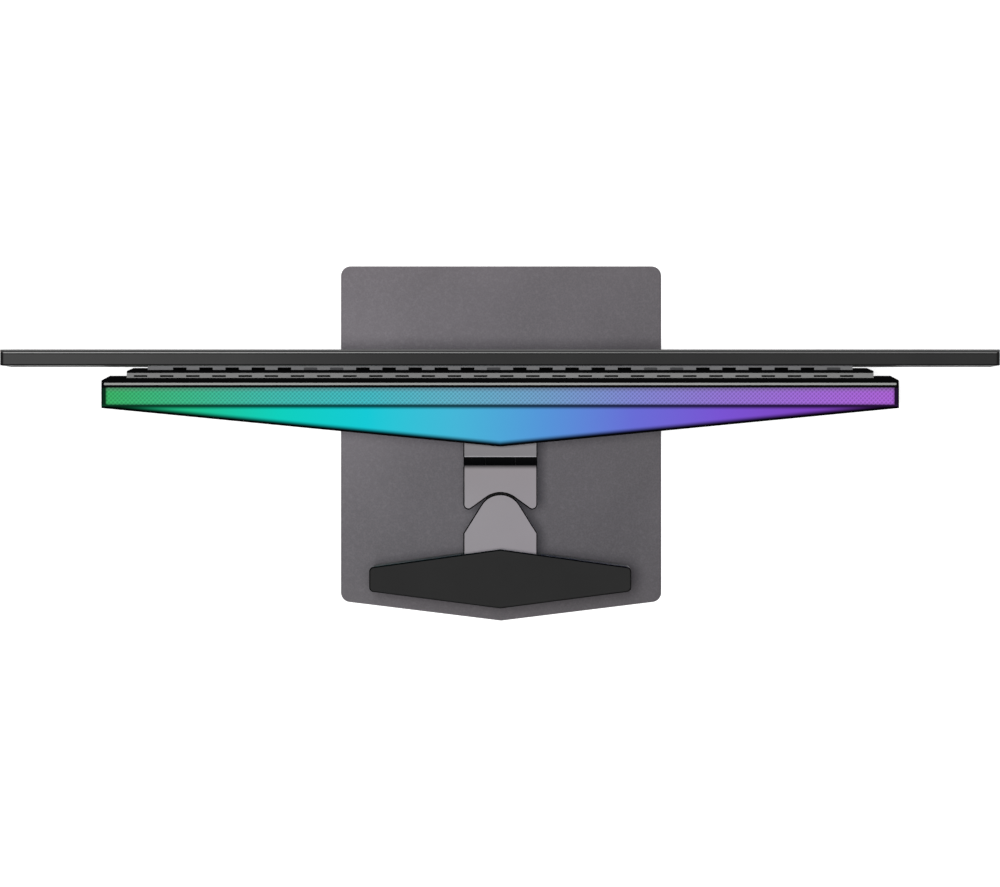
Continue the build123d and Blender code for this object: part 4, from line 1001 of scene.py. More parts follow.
@dataclass(frozen=True)
class KnurledLens(LitFinish):
    """The ribbed lens: its crossing grooves shine and its two edges are dim.

    front and back are the lens's edges in Y, and top is its upper face in Z.
    A span is measured from its edge, and a level goes with its two ends.
    """

    front: float = 0.0
    back: float = 0.0
    top: float = 0.0
    front_span: Span = (-0.6 * MM, 3.2 * MM)
    front_level: Span = (0.4, 1.0)
    back_span: Span = (0.6 * MM, -1.4 * MM)
    back_level: Span = (0.35, 1.0)
    top_span: Span = (-2.5 * MM, -1.0 * MM)
    tip_span: Span = (4.2 * MM, 1.8 * MM)
    tip_level: Span = (1.0, 0.12)
    groove_level: Span = (0.66, 1.28)
    haze: str = "#b8b8c4"
    haze_front: Span = (0.3, 0.0)
    haze_groove: Span = (0.5, 1.0)

    def light(self, sheet: NodeSheet) -> Socket:
        """Hazes the lights' colour with grey towards the front edge.

        Args:
            sheet: The material's nodes.

        Returns:
            The hazed colour.
        """
        haze = sheet.product(
            sheet.between(sheet.past(sheet.y, self.front, self.front_span), *self.haze_front),
            sheet.between(sheet.attribute("groove"), *self.haze_groove),
        )
        return sheet.mix(haze, super().light(sheet), self.haze)

    def level(self, sheet: NodeSheet) -> Value:
        """Gathers the light in the grooves and dims it at edges and ends.

        Args:
            sheet: The material's nodes.

        Returns:
            The share of the light that comes through.
        """
        tips = sheet.product(
            sheet.past(sheet.z, self.top, self.top_span),
            sheet.rise(self.inset(sheet), *self.tip_span),
        )
        return sheet.product(
            sheet.between(sheet.past(sheet.y, self.front, self.front_span), *self.front_level),
            sheet.between(sheet.past(sheet.y, self.back, self.back_span), *self.back_level),
            sheet.between(tips, *self.tip_level),
            sheet.between(sheet.attribute("groove"), *self.groove_level),
        )


@dataclass(frozen=True)
class WedgeTop(LitFinish):
    """The diffuser's top: its light fades towards the seam and the rear edge.

    The rear edge lies at ridge - slope x |X|.
    """

    seam: float = 0.0
    ridge: float = 0.0
    slope: float = 0.0
    rear_span: Span = (-0.1 * MM, -3.5 * MM)
    seam_span: Span = (-0.3 * MM, 2.4 * MM)
    seam_level: Span = (0.05, 1.0)

    def level(self, sheet: NodeSheet) -> Value:
        """Lets the light rise from the seam and from the rear edge.

        Args:
            sheet: The material's nodes.

        Returns:
            The share of the light that comes through.
        """
        depth = sheet.maths("MULTIPLY_ADD", sheet.across, self.slope, sheet.y)
        seam = sheet.past(sheet.y, self.seam, self.seam_span)
        rear = sheet.past(depth, self.ridge, self.rear_span)
        return sheet.product(rear, sheet.between(seam, *self.seam_level))


@dataclass(frozen=True)
class FlutedBack(LitFinish):
    """The diffuser's back, brightest along its edges, where the lights lie.

    middle_z and half_height give its place in Z; the light falls over fade,
    measured from the nearest edge.
    """

    middle_z: float = 0.0
    half_height: float = 0.0
    fade: Span = (75 * MM, 4 * MM)
    fade_level: Span = (0.26, 0.95)
    flute_level: Span = (0.72, 1.0)

    def level(self, sheet: NodeSheet) -> Value:
        """Lets the light fall from the nearest edge, and a little in each flute.

        Args:
            sheet: The material's nodes.

        Returns:
            The share of the light that comes through.
        """
        up = sheet.distance(sheet.z, self.middle_z)
        from_top = sheet.maths("SUBTRACT", self.half_height, up)
        nearest = sheet.maths("MINIMUM", from_top, self.inset(sheet))
        return sheet.product(
            sheet.between(sheet.rise(nearest, *self.fade), *self.fade_level),
            sheet.between(sheet.attribute("flute"), *self.flute_level),
        )


@dataclass(frozen=True)
class TrayPlastic(LitFinish):
    """Black plastic with a little coloured light behind the lens and at its ends.

    seam holds the two planes in Y of the strip behind the lens, front is the
    lens's front edge, and wall is the lit part of the tray's thickness at its
    ends.
    """

    seam: Span = (0.0, 0.0)
    seam_soft: float = 0.1 * MM
    seam_level: float = 0.11
    front: float = 0.0
    front_span: Span = (0.0, 0.4 * MM)
    top: float = 0.0
    top_span: Span = (-0.5 * MM, -0.2 * MM)
    wall: Span = (0.9 * MM, 2.6 * MM)
    wall_soft: float = 0.3 * MM
    wall_level: float = 0.06

    def level(self, sheet: NodeSheet) -> Value:
        """Lets some light through behind the lens and less at its ends.

        Args:
            sheet: The material's nodes.

        Returns:
            The share of the light that comes through.
        """
        strip = sheet.window(sheet.y, *self.seam, self.seam_soft)
        walls = sheet.product(
            sheet.window(self.inset(sheet), *self.wall, self.wall_soft),
            sheet.past(sheet.y, self.front, self.front_span),
        )
        most = sheet.most(
            sheet.product(strip, self.seam_level), sheet.product(walls, self.wall_level)
        )
        return sheet.product(most, sheet.past(sheet.z, self.top, self.top_span))


@dataclass(frozen=True)
class ScreenFilm(Finish):
    """The screen, switched off: a dark picture area inside a black border."""

    half_width: float = 0.0
    low: float = 0.0
    high: float = 0.0
    border: float = 6 * MM
    border_colour: str = "#050506"
    soft: float = 0.2 * MM

    def plain(self, sheet: NodeSheet) -> Colour:
        """Lays a black border round a faintly blue picture area.

        Args:
            sheet: The material's nodes.

        Returns:
            The colour.
        """
        in_x = sheet.past(sheet.across, self.half_width - self.border, (self.soft, 0.0))
        in_z = sheet.window(sheet.z, self.low + self.border, self.high - self.border, self.soft)
        return sheet.mix(sheet.product(in_x, in_z), self.border_colour, self.colour)


@dataclass(frozen=True)
class BoardLaminate(Finish):
    """Circuit board: solder mask over thin copper tracks."""

    track: str = "#14452f"
    spacing: float = 7 * MM
    run: tuple[float, float, float] = (0.3, 1.0, 1.0)    # stretches the tracks along X
    width: Span = (0.016, 0.008)

    def plain(self, sheet: NodeSheet) -> Colour:
        """Tracks where a stretched noise crosses its middle value."""
        off = sheet.distance(sheet.noise(self.spacing, 1.0, self.run), 0.5)
        return sheet.mix(sheet.rise(off, *self.width), self.colour, self.track)


# ------------------------------------------------------------- sub-assemblies
@dataclass
class Panel:
    """The thin display panel: rim, screen, back cover and what lies between."""

    body: str = "display"
    rim_edge: float = 0.25 * MM
    cover_edge: float = 0.6 * MM
    # painted lighter towards +X as light from that side, with a painted shadow where it meets the
    # cover
    rim: Finish = RimPlastic(
        "bezel plastic", "#686868", 0.55, gloss=0.08, far="#606060", gap_shadow="#383838"
    )
    steel: Finish = Finish("zinc plated sheet", "#9c9da0", 0.38, 1.0, relief=Relief.BRUSHED)
    films: Finish = Finish("white film", "#ecebe6", 0.35, mottle=0.02)
    guide: Finish = Finish("clear acrylic", "#dfe8ec", 0.12, gloss=0.6, mottle=0.02)
    board: Finish = BoardLaminate("backlight board", "#dcdfdb", 0.4, track="#c9b98a")

    def build(self) -> None:
        """Dresses the inner layers, then makes rim, screen and cover."""
        dress(self.steel, "panel_chassis")
        dress(self.films, "optical_sheets")
        dress(self.guide, "light_guide")
        dress(self.board, "backlight_bar")
        low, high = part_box("lcd_screen")
        film = ScreenFilm(
            "anti-glare film", "#0b0d11", 0.32, gloss=0.25, mottle=0.03, grain=0.12 * MM,
            depth=0.002 * MM, half_width=high.x, low=low.z, high=high.z,
        )
        dress(film, "lcd_screen")
        eased("front_bezel", self.body, self.rim, self.rim_edge)
        eased("panel_cover", self.body, self.cover_finish(), self.cover_edge, 3)

    def cover_finish(self) -> Finish:
        """The back cover's plastic, painted paler towards +X as if lit from that side."""
        low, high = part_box("panel_cover")
        return CoverPlastic(
            "cover plastic", "#454545", 0.55, gloss=0.06, mottle=0.04, far="#2b2b2b",
            seam_y=low.y, back_y=high.y, half_width=high.x, top=high.z,
        )


@dataclass
class LightHousing:
    """The lit housing: two grilles, two plates, the tray, its lenses and diffuser."""

    body: str = "display"
    edge: float = 0.3 * MM          # rounded edge of plates and frame
    tray_edge: float = 0.2 * MM
    trim_edge: float = 0.15 * MM
    knurl: float = 2.6 * MM         # pitch of the lens's crossing grooves
    knurl_depth: float = 0.45 * MM
    knurl_points: int = 6           # points along X for each groove
    flute: float = 7.0 * MM         # pitch of the flutes on the back
    flute_depth: float = 0.5 * MM
    flute_points: int = 6
    flute_rows: tuple[int, int] = (6, 9)    # grid lines beside and behind the well
    sheet_t: float = 0.5 * MM       # thickness of the fluted sheet
    frame_w: float = 7.0 * MM       # what the rear frame covers of it
    well_gap: float = 0.4 * MM
    wedge_end: float = 0.3 * MM     # thickness of the wedge at its two ends
    grille_edge: float = 0.1 * MM
    grille_wall: float = 2.5 * MM
    grille_skin: Span = (3.0 * MM, 0.35 * MM)   # of ends and faces that stays grey
    slot_pitch: float = 16.1 * MM
    slot_shift: float = 4.0 * MM    # of the middle place, towards +X
    slot_size: Span = (8.3 * MM, 1.5 * MM)
    blind: tuple[int, ...] = (-13, -7, -6, 0, 6, 7)     # places closed by a plate
    plate_points: int = 40
    plate_power: int = 8            # of the superellipse round a plate
    plate_rings: tuple[Span, ...] = (       # inset and height above the grille
        (0.0, -0.3 * MM), (0.0, 0.05 * MM), (0.06 * MM, 0.12 * MM),
    )
    quilt: float = 5.2 * MM         # pitch of the dust screen's quilting
    quilting: float = 0.1 * MM      # its height, and the film's thickness
    quilt_grid: tuple[int, int] = (241, 5)
    band_colours: tuple[str, ...] = (
        "#30ac5c", "#34b284", "#38b3a8", "#3ab2bb", "#5ca8c0",
        "#6b98c2", "#7a80ca", "#8b6ccb", "#9961ce", "#a45acc",
    )
    wedge_colours: tuple[str, ...] = (
        "#1fa468", "#1ec08a", "#0ed0bd", "#15cad6", "#45b6d8",
        "#5595d9", "#686dd6", "#7953d3", "#7d42c0", "#7a3fa8",
    )
    black: Finish = Finish("tier plastic", "#040405", 0.65, gloss=0.015)
    metal: Finish = Finish("trim metal", "#a2a3a1", 0.5, gloss=0.1, relief=Relief.BRUSHED)
    blank: Finish = Finish("blanking plate", "#434345", 0.6, gloss=0.1)
    mesh_film: Finish = Finish("dust screen film", "#030303", 0.9, gloss=0.02, grain=0.2 * MM)
    frame_gloss: Finish = Finish("frame plastic", "#020203", 0.55, gloss=0.012)
    strip: Finish = BoardLaminate("light strip", "#e4e6e1", 0.4, track="#cdbd8d")
    chip: Finish = Finish("light chip", "#e9e2bd", 0.25, mottle=0.1)

    def build(self) -> None:
        """Makes the housing from the panel outwards."""
        self.grille("vent_ring_inner", "#656567")
        self.grille("vent_ring_outer", "#787878")
        self.blanking_plates()
        self.dust_screen()
        for node in ("tier_plate_inner", "tier_plate_outer"):
            eased(node, self.body, self.black, self.edge)
        self.tray()
        eased("trim_strip", self.body, self.metal, self.trim_edge)
        self.lenses()
        self.diffuser()
        eased("rear_frame", self.body, self.frame_gloss, self.edge)
        dress(self.strip, "light_strips")
        dress(self.chip, "light_chips")

    def grille(self, node: str, colour: str) -> None:
        """A grille whose slots have shade painted black inside.

        Args:
            node: The CAD node.
            colour: The plastic's colour outside the slots.
        """
        low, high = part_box(node)
        middle = (low.z + high.z) / 2
        ends, faces = self.grille_skin
        finish = VentPlastic(
            node + " plastic", colour, 0.5, gloss=0.2, mottle=0.12,
            middle_z=middle, reach=(high.x - ends, high.z - middle - faces),
        )
        eased(node, self.body, finish, self.grille_edge)

    def blanking_plates(self) -> None:
        """Plates that close some places in the inner grille's rows of slots.

        A plate's outline is a superellipse, |x/a|^power + |y/b|^power = 1,
        drawn in at its upper edge.
        """
        low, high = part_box("vent_ring_inner")
        turn = 2 * pi * np.arange(self.plate_points) / self.plate_points
        wave = np.stack([np.cos(turn), np.sin(turn)], axis=-1)
        outline = np.sign(wave) * np.abs(wave) ** (2 / self.plate_power)
        half = np.array(self.slot_size) / 2
        loops = np.empty((len(self.plate_rings), self.plate_points, 3))
        for loop, (inset, height) in zip(loops, self.plate_rings):
            loop[:, :2] = (half - inset) * outline
            loop[:, 2] = height
        plate, y = tube(loops), high.y - half[1]
        plates = []
        for place in self.blind:
            x = place * self.slot_pitch + self.slot_shift
            plates.append(plate.placed(Facing.UP, (x, y, high.z)))
            plates.append(plate.placed(Facing.DOWN, (x, y, low.z)))
        mesh = total(plates).mesh("blanking_plates")
        add_piece("blanking_plates", mesh, self.body, self.blank)

    def dust_screen(self) -> None:
        """Quilted black strips inside both grilles, under and over their slots.

        A strip's height swings as the product of two cosines, by its quilting.
        """
        strips = []
        for node in ("vent_ring_inner", "vent_ring_outer"):
            low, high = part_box(node)
            half, (columns, rows) = high.x - self.grille_wall, self.quilt_grid
            along, across = np.linspace(-half, half, columns), np.linspace(low.y, high.y, rows)
            u, v = np.meshgrid(along, across, indexing="ij")
            turn = 2 * pi / self.quilt
            swell = self.quilting * np.cos(turn * u) * np.cos(turn * v)
            for z in (high.z - self.grille_wall, low.z + self.grille_wall):
                inward = np.sign((low.z + high.z) / 2 - z)
                sheet = z + inward * (2 * self.quilting + swell)
                strips.append(lattice(np.stack([u, v, sheet], axis=-1)))
        mesh = total(strips).mesh("dust_screen", closed=False)
        piece = add_piece("dust_screen", mesh, self.body, self.mesh_film)
        walled(piece, self.quilting, 0.0)

    def tray(self) -> None:
        """The black ring, with the lit seam between lens and diffuser."""
        low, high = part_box("light_tray")
        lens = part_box("lens_bands")
        finish = TrayPlastic(
            "tray plastic", "#040405", 0.65, gloss=0.015, colours=self.wedge_colours,
            half_width=high.x, seam=(lens[1].y, high.y), front=lens[0].y, top=high.z,
        )
        eased("light_tray", self.body, finish, self.tray_edge)

    def ribbed_bar(self, length: float, width: float, thick: float) -> tuple[Surface, Array]:
        """A bar along +X from the origin, its top crossed by two sets of grooves.

        With u along and v across, the grooves lie where (u + v) / pitch or
        (u - v) / pitch is a whole number; the depth falls off as a triangle
        wave on both sides of a groove.

        Args:
            length: Length along X.
            width: Width along Y, centred on 0.
            thick: Thickness below Z = 0.

        Returns:
            The closed surface, and how deep in a groove each point is.
        """
        counts = [int(side / self.knurl * self.knurl_points) + 1 for side in (length, width)]
        along = np.linspace(0, length, counts[0])
        across = np.linspace(-width / 2, width / 2, counts[1])
        u, v = np.meshgrid(along, across, indexing="ij")
        groove = np.maximum(zigzag((u + v) / self.knurl), zigzag((u - v) / self.knurl)) ** 2
        top = np.stack([u, v, -self.knurl_depth * groove], axis=-1)
        floor = np.full((len(along), 2, 3), -thick)
        floor[..., 0] = along[:, None]
        floor[:, 0, 1], floor[:, 1, 1] = width / 2, -width / 2
        depth = np.pad(groove, ((0, 0), (0, 2)))
        return tube(np.concatenate([top, floor], axis=1)), depth.ravel()

    def lenses(self) -> None:
        """The knurled lens along the top and the ones down the two sides."""
        boxes = [extent(bar) for bar in solids("lens_bands")]
        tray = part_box("light_tray")[1]
        low, high = boxes[0]
        finish = KnurledLens(
            "ribbed lens", "#040506", 0.4, gloss=0.06, colours=self.band_colours,
            half_width=tray.x, front=low[1], back=high[1], top=tray.z,
        )
        surfaces, grooves = [], []
        for low, high in boxes:
            size, middle = high - low, (low + high) / 2
            thick, length = sorted((size[0], size[2]))
            bar, groove = self.ribbed_bar(length, size[1], thick)
            if size[0] > size[2]:
                bar = bar.placed(Facing.UP, (low[0], middle[1], high[2]))
            else:
                side = float(np.sign(middle[0]))
                x, y, z = bar.points.T
                edge = high[0] if side > 0 else low[0]
                bar.points = np.stack([edge + side * z, middle[1] + y, low[2] + x], axis=-1)
            surfaces.append(bar)
            grooves.append(groove)
        mesh = total(surfaces).mesh("lens_ribs")
        marked(mesh, "groove", np.concatenate(grooves))
        add_piece("lens_ribs", mesh, self.body, finish, ["lens_bands"])

    def slope(self) -> float:
        """Fall of the diffuser's back for each unit of X away from the ridge."""
        low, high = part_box("rear_diffuser")
        return (high.y - low.y - self.wedge_end) / high.x

    def diffuser(self) -> None:
        """The lit wedge, with a fluted sheet over its two sloping faces."""
        low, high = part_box("rear_diffuser")
        top = WedgeTop(
            "milky diffuser", "#020203", 0.6, gloss=0.0, colours=self.wedge_colours,
            half_width=high.x, seam=low.y, ridge=high.y, slope=self.slope(),
        )
        dress(top, "rear_diffuser")
        self.flutes(low, high)

    def flutes(self, low: Vector, high: Vector) -> None:
        """The fluted sheet on the diffuser's back, open round the mount well.

        Y = ridge - slope x |X| + depth x (1 + cos(2 pi X / pitch)) / 2, on a
        grid whose lines follow the well's sides.

        Args:
            low: The diffuser's lowest corner.
            high: Its highest corner.
        """
        middle = (low.z + high.z) / 2
        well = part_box("mount_well")[1].x + self.well_gap
        half_x, half_z = high.x - self.frame_w, (high.z - low.z) / 2 - self.frame_w
        step = self.flute / self.flute_points
        outer = np.linspace(well, half_x, int((half_x - well) / step) + 1)
        inner = np.linspace(-well, well, 2 * int(well / step) + 1)
        x = np.concatenate([-outer[::-1], inner[1:-1], outer])
        beside, behind = self.flute_rows
        rise = np.linspace(well, half_z, beside)
        z = np.concatenate([-rise[::-1], np.linspace(-well, well, behind)[1:-1], rise])
        grid_x, grid_z = np.meshgrid(x, z, indexing="ij")
        flute = (1 + np.cos(2 * pi * grid_x / self.flute)) / 2
        y = high.y - self.slope() * np.abs(grid_x) + self.flute_depth * flute
        points = np.stack([grid_x, y, grid_z + middle], axis=-1)
        centre_x, centre_z = (x[1:] + x[:-1]) / 2, (z[1:] + z[:-1]) / 2
        keep = (np.abs(centre_x)[:, None] > well) | (np.abs(centre_z)[None, :] > well)
        surface = lattice(points, keep)
        finish = FlutedBack(
            "fluted diffuser", "#20262a", 0.35, gloss=0.25, colours=self.wedge_colours,
            half_width=high.x, middle_z=middle, half_height=half_z,
        )
        mesh = surface.mesh("diffuser_flutes", closed=False)
        marked(mesh, "flute", flute)
        sheet = add_piece("diffuser_flutes", mesh, self.body, finish)
        walled(sheet, self.sheet_t, -1.0)


@dataclass
class ScrewSet:
    """Socket-head screws in place of a node's plain ones.

    Each screw keeps its axis, length and two radii; its head is at the end
    where the solid is widest.
    """

    node: str
    body: str
    finish: Finish = Finish("blackened screw steel", "#55565a", 0.3, 0.9, relief=Relief.BRUSHED)
    rounding: float = 0.4 * MM      # of the head's rim, and of the tip
    bare: Span = (0.5 * MM, 0.2 * MM)       # stem without thread, and below the head
    thread: float = 0.7 * MM
    thread_depth: float = 0.25 * MM
    socket: float = 0.806           # share of the stem's radius
    chamfer: float = 0.15 * MM      # of the socket
    socket_floor: Span = (0.45, 0.35)       # at its rim and middle, shares of the head
    drilled: float = 0.4            # share of the socket's radius that is deeper

    def build(self) -> None:
        """Makes all screws of the node as one piece."""
        name = self.node + "_turned"
        mesh = total([self.screw(points) for points in solids(self.node)]).mesh(name)
        add_piece(name, mesh, self.body, self.finish, [self.node])

    def screw(self, points: Array) -> Surface:
        """One screw over its plain solid.

        Args:
            points: The solid's points.

        Returns:
            The screw, in place.
        """
        low, high = extent(points)
        middle = (low + high) / 2
        axis = int(np.argmax(high - low))
        head_r, wide = widest(points, axis)
        head_h = wide.max() - wide.min()
        length = high[axis] - low[axis] - head_h
        ahead = wide.mean() > middle[axis]
        tip = (low if ahead else high)[axis]
        stem = points[np.abs(points[:, axis] - tip) < TOUCH]
        facing = {1: (Facing.FRONT, Facing.BACK), 2: (Facing.DOWN, Facing.UP)}[axis][int(ahead)]
        seat = middle.copy()
        seat[axis] = wide.min() if ahead else wide.max()
        stem_r = radii(stem, middle, axis).max()
        return self.outline(stem_r, head_r, head_h, length).placed(facing, seat)

    def outline(self, stem_r: float, head_r: float, head_h: float, length: float) -> Surface:
        """Rings from the tip up over the knurled head and down into its hex socket.

        The thread is a row of rings whose radius alternates.

        Args:
            stem_r: The stem's radius.
            head_r: The head's radius.
            head_h: The head's height.
            length: The stem's length.

        Returns:
            The screw, with its tip down and its head on Z = 0.
        """
        bare, below_head = self.bare
        turns = np.arange(bare - length, -bare, self.thread / 2)
        dips = self.thread_depth * (np.arange(len(turns)) % 2)
        rounded, socket = self.rounding, self.socket * stem_r
        rim, middle = (share * head_h for share in self.socket_floor)
        return turned([
            Ring(stem_r - rounded, -length),
            *(Ring(stem_r - dip, height) for dip, height in zip(dips, turns)),
            Ring(stem_r, -below_head),
            Ring(stem_r, 0.0),
            Ring(head_r, 0.0, Section.KNURLED),
            Ring(head_r, head_h - rounded, Section.KNURLED),
            Ring(head_r - 0.3 * rounded, head_h - 0.3 * rounded),    # half way round
            Ring(head_r - rounded, head_h),
            Ring(socket + self.chamfer, head_h),
            Ring(socket, head_h - self.chamfer, Section.HEXAGON),
            Ring(socket, rim, Section.HEXAGON),
            Ring(self.drilled * socket, middle),
        ])


@dataclass
class Mounting:
    """The square well in the housing, its bracket, and the stand's mount plate."""

    body: str = "display"
    edge: float = 0.5 * MM
    hole_spacing: float = 100 * MM
    insert_sides: int = 32
    insert_r: float = 3.6 * MM
    insert_bore: float = 2.0 * MM
    insert_rise: float = 0.3 * MM       # above the plate
    insert_foot: float = 0.4 * MM       # below its surface
    insert_rim: Span = (0.15 * MM, 0.1 * MM)    # width and height of its chamfer
    insert_mouth: float = 0.3 * MM      # chamfer of the bore
    well: Finish = Finish("well plastic", "#131314", 0.55, gloss=0.25)
    steel: Finish = Finish("bracket steel", "#95969a", 0.4, 1.0, relief=Relief.BRUSHED)
    black_steel: Finish = Finish("black steel", "#1d1d1f", 0.42, 0.3, depth=0.015 * MM)
    brass: Finish = Finish("brass insert", "#b59a5a", 0.3, 1.0, relief=Relief.BRUSHED)

    def build(self) -> None:
        """Makes the well, the plate with its screws, and the thread inserts."""
        eased("mount_well", self.body, self.well, self.edge, 3)
        eased("mount_plate", self.body, self.black_steel, self.edge)
        dress(self.steel, "mount_bracket", "support_posts")
        ScrewSet("mount_screws", self.body).build()
        self.inserts()

    def inserts(self) -> None:
        """A brass collar round each of the four holes for a wall bracket."""
        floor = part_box("mount_plate")[0].y
        low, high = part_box("panel_cover")
        middle = (low.z + high.z) / 2
        bore, outer, rise = self.insert_bore, self.insert_r, self.insert_rise
        foot, mouth, (wide, tall) = -self.insert_foot, self.insert_mouth, self.insert_rim
        rings = [
            Ring(bore, foot), Ring(outer, foot), Ring(outer, rise - tall),
            Ring(outer - wide, rise), Ring(bore + mouth, rise), Ring(bore, rise - mouth),
            Ring(bore, foot),
        ]
        collar = tube(np.stack([ring.loop(self.insert_sides) for ring in rings]), capped=False)
        half = self.hole_spacing / 2
        places = [(x, floor, middle + z) for x in (-half, half) for z in (-half, half)]
        mesh = total([collar.placed(Facing.BACK, at) for at in places]).mesh("thread_inserts")
        add_piece("thread_inserts", mesh, self.body, self.brass)


@dataclass
class Electronics:
    """Circuit boards, their components, the sockets and the panel round them."""

    body: str = "display"
    edge: float = 0.2 * MM
    laminate: Finish = BoardLaminate("board laminate", "#0b3323", 0.35, gloss=0.5)
    parts: Finish = Finish("component black", "#17171a", 0.45, mottle=0.12)
    plated: Finish = Finish("plated metal", "#b4b5b8", 0.28, 1.0, relief=Relief.DRAWN)
    cast: Finish = Finish("cast aluminium", "#a2a3a7", 0.5, 1.0, depth=0.02 * MM)
    panel: Finish = Finish("socket panel plastic", "#131314", 0.6, gloss=0.2)

    def build(self) -> None:
        """Dresses the boards and makes the visible parts at the sockets."""
        dress(self.laminate, "mainboard", "driver_board", "key_board")
        dress(self.parts, "board_components", "power_jack")
        dress(self.cast, "heat_sink")
        dress(self.plated, "data_sockets")
        eased("io_panel", self.body, self.panel, self.edge)


@dataclass
class Controls:
    """The power button and the little joystick under the housing."""

    key: Finish = Finish("key plastic", "#1a1a1b", 0.5, gloss=0.3, grain=0.3 * MM)
    button_r: float = 3.0 * MM
    button_face: tuple[Span, ...] = (       # share of the radius, and rise
        (0.2, 0.35 * MM), (0.6, 0.245 * MM), (0.78, 0.0), (0.9, 0.08 * MM), (1.0, 0.5 * MM),
    )
    button_sides: int = 48
    collar_t: float = 1.0 * MM
    cap_face: tuple[Span, ...] = (
        (0.15, 0.8 * MM), (0.45, 0.6 * MM), (0.62, 0.15 * MM), (0.7, 0.0), (0.85, 0.3 * MM),
        (0.95, 0.9 * MM),
    )
    cap_grip: Span = (1.4 * MM, 0.5 * MM)   # from the cap's two ends to the knurl
    cap_shoulder: tuple[Span, ...] = ((0.93, -0.1 * MM), (0.88, 0.0))
    cap_sides: int = 96
    bore_r: float = 1.65 * MM
    bore_depth: float = 2.5 * MM

    def build(self) -> None:
        """Dresses the rocker's parts and turns the button and the cap."""
        dress(self.key, "joystick_gimbal", "joystick_rocker", "joystick_stem")
        self.button()
        self.stick()

    def knob(self, node: str, name: str, rings: Sequence[Ring], sides: int) -> None:
        """A turned knob in place of a node on the body of the same name.

        Args:
            node: The CAD node, which is round about Z.
            name: Name of the piece.
            rings: Its rings, from the face at the bottom up.
            sides: Points round each ring.
        """
        low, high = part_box(node)
        middle = ((low.x + high.x) / 2, (low.y + high.y) / 2, 0.0)
        mesh = turned(rings, sides).placed(Facing.UP, middle).mesh(name)
        add_piece(name, mesh, node, self.key, [node])

    def button(self) -> None:
        """The button: a dished face, a rounded rim and a collar that keeps it in."""
        low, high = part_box("power_button")
        collar, r = (high.x - low.x) / 2, self.button_r
        _, wide = widest(solids("power_button")[0], 2)
        rest = float(np.clip(wide.min(), low.z, high.z))
        rings = profile(self.button_face, r, low.z) + [
            Ring(r, rest), Ring(collar, rest), Ring(collar, rest + self.collar_t),
            Ring(r, rest + self.collar_t), Ring(r, high.z),
        ]
        self.knob("power_button", "button_turned", rings, self.button_sides)

    def stick(self) -> None:
        """The joystick's cap: knurled round its rim and dished for a fingertip."""
        low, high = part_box("joystick_cap")
        r, (start, end) = (high.x - low.x) / 2, self.cap_grip
        rings = profile(self.cap_face, r, low.z) + [
            Ring(r, low.z + start, Section.KNURLED), Ring(r, high.z - end, Section.KNURLED),
            *profile(self.cap_shoulder, r, high.z),
            Ring(self.bore_r, high.z), Ring(self.bore_r, high.z - self.bore_depth),
        ]
        self.knob("joystick_cap", "stick_cap_turned", rings, self.cap_sides)


@dataclass
class Neck:
    """Hood, tilt hinge, swivel block and arm between display and column."""

    hood_edge: float = 0.3 * MM
    hood_rim: float = 0.8 * MM      # width of the hood's ends, painted dark as shade
    paint_edge: float = 0.15 * MM
    front_shade: Span = (-0.4 * MM, 3.0 * MM)   # from the block's front
    notch_gap: float = 0.6 * MM     # from the arm's nose to the block's notch
    tongue_half: float = 9.3 * MM   # half the width of the tongue in the notch
    colour: str = "#a19a9d"
    hood_colour: str = "#908d90"
    black_steel: Finish = Finish("hinge steel", "#050506", 0.5, gloss=0.04, depth=0.015 * MM)
    disc: Finish = Finish("friction disc", "#141415", 0.5, gloss=0.2)
    ground: Finish = Finish("ground steel", "#b9babd", 0.25, 1.0, relief=Relief.BRUSHED)
    wear: Finish = Finish("wear plastic", "#c9c7bd", 0.45, mottle=0.04)

    def build(self) -> None:
        """Dresses the hinges and rounds the visible parts."""
        dress(self.black_steel, "tilt_knuckle", "hinge_barrels")
        dress(self.ground, "tilt_shaft", "swivel_pin")
        dress(self.disc, "friction_discs")
        dress(self.wear, "swivel_washers")
        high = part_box("tilt_yoke")[1]
        # painted shade on the hood's ends and a painted highlight along its rear edge
        hood = OutlinedMetal(
            "hood metal", self.hood_colour, 0.45, gloss=0.04, mottle=0.06, top=high.z,
            edge_depth=0.0, side_x=high.x - self.hood_rim, lip_y=high.y, grain=0.3 * MM,
        )
        eased("tilt_yoke", "display", hood, self.hood_edge)
        self.painted("swivel_block", "swivel")
        self.painted("swivel_arm", "arm")

    def painted(self, node: str, body: str) -> None:
        """One of the two painted castings, with shade painted dark on its broken edges on top.

        Args:
            node: The CAD node.
            body: The moving body that carries it.
        """
        low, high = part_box("swivel_block")
        marks = {}
        # on the block, a painted shadow at its front and painted shade on the tongue deep in the
        # notch
        if node == "swivel_block":
            start, end = self.front_shade
            marks = {
                "shade_y": (low.y + start, low.y + end),
                "pit_x": self.tongue_half,
                "pit_y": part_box("swivel_arm")[0].y - self.notch_gap,
            }
        finish = OutlinedMetal(
            node + " paint", self.colour, 0.45, gloss=0.04, mottle=0.06, top=high.z,
            grain=0.3 * MM, depth=0.012 * MM, **marks,
        )
        eased(node, body, finish, self.paint_edge)


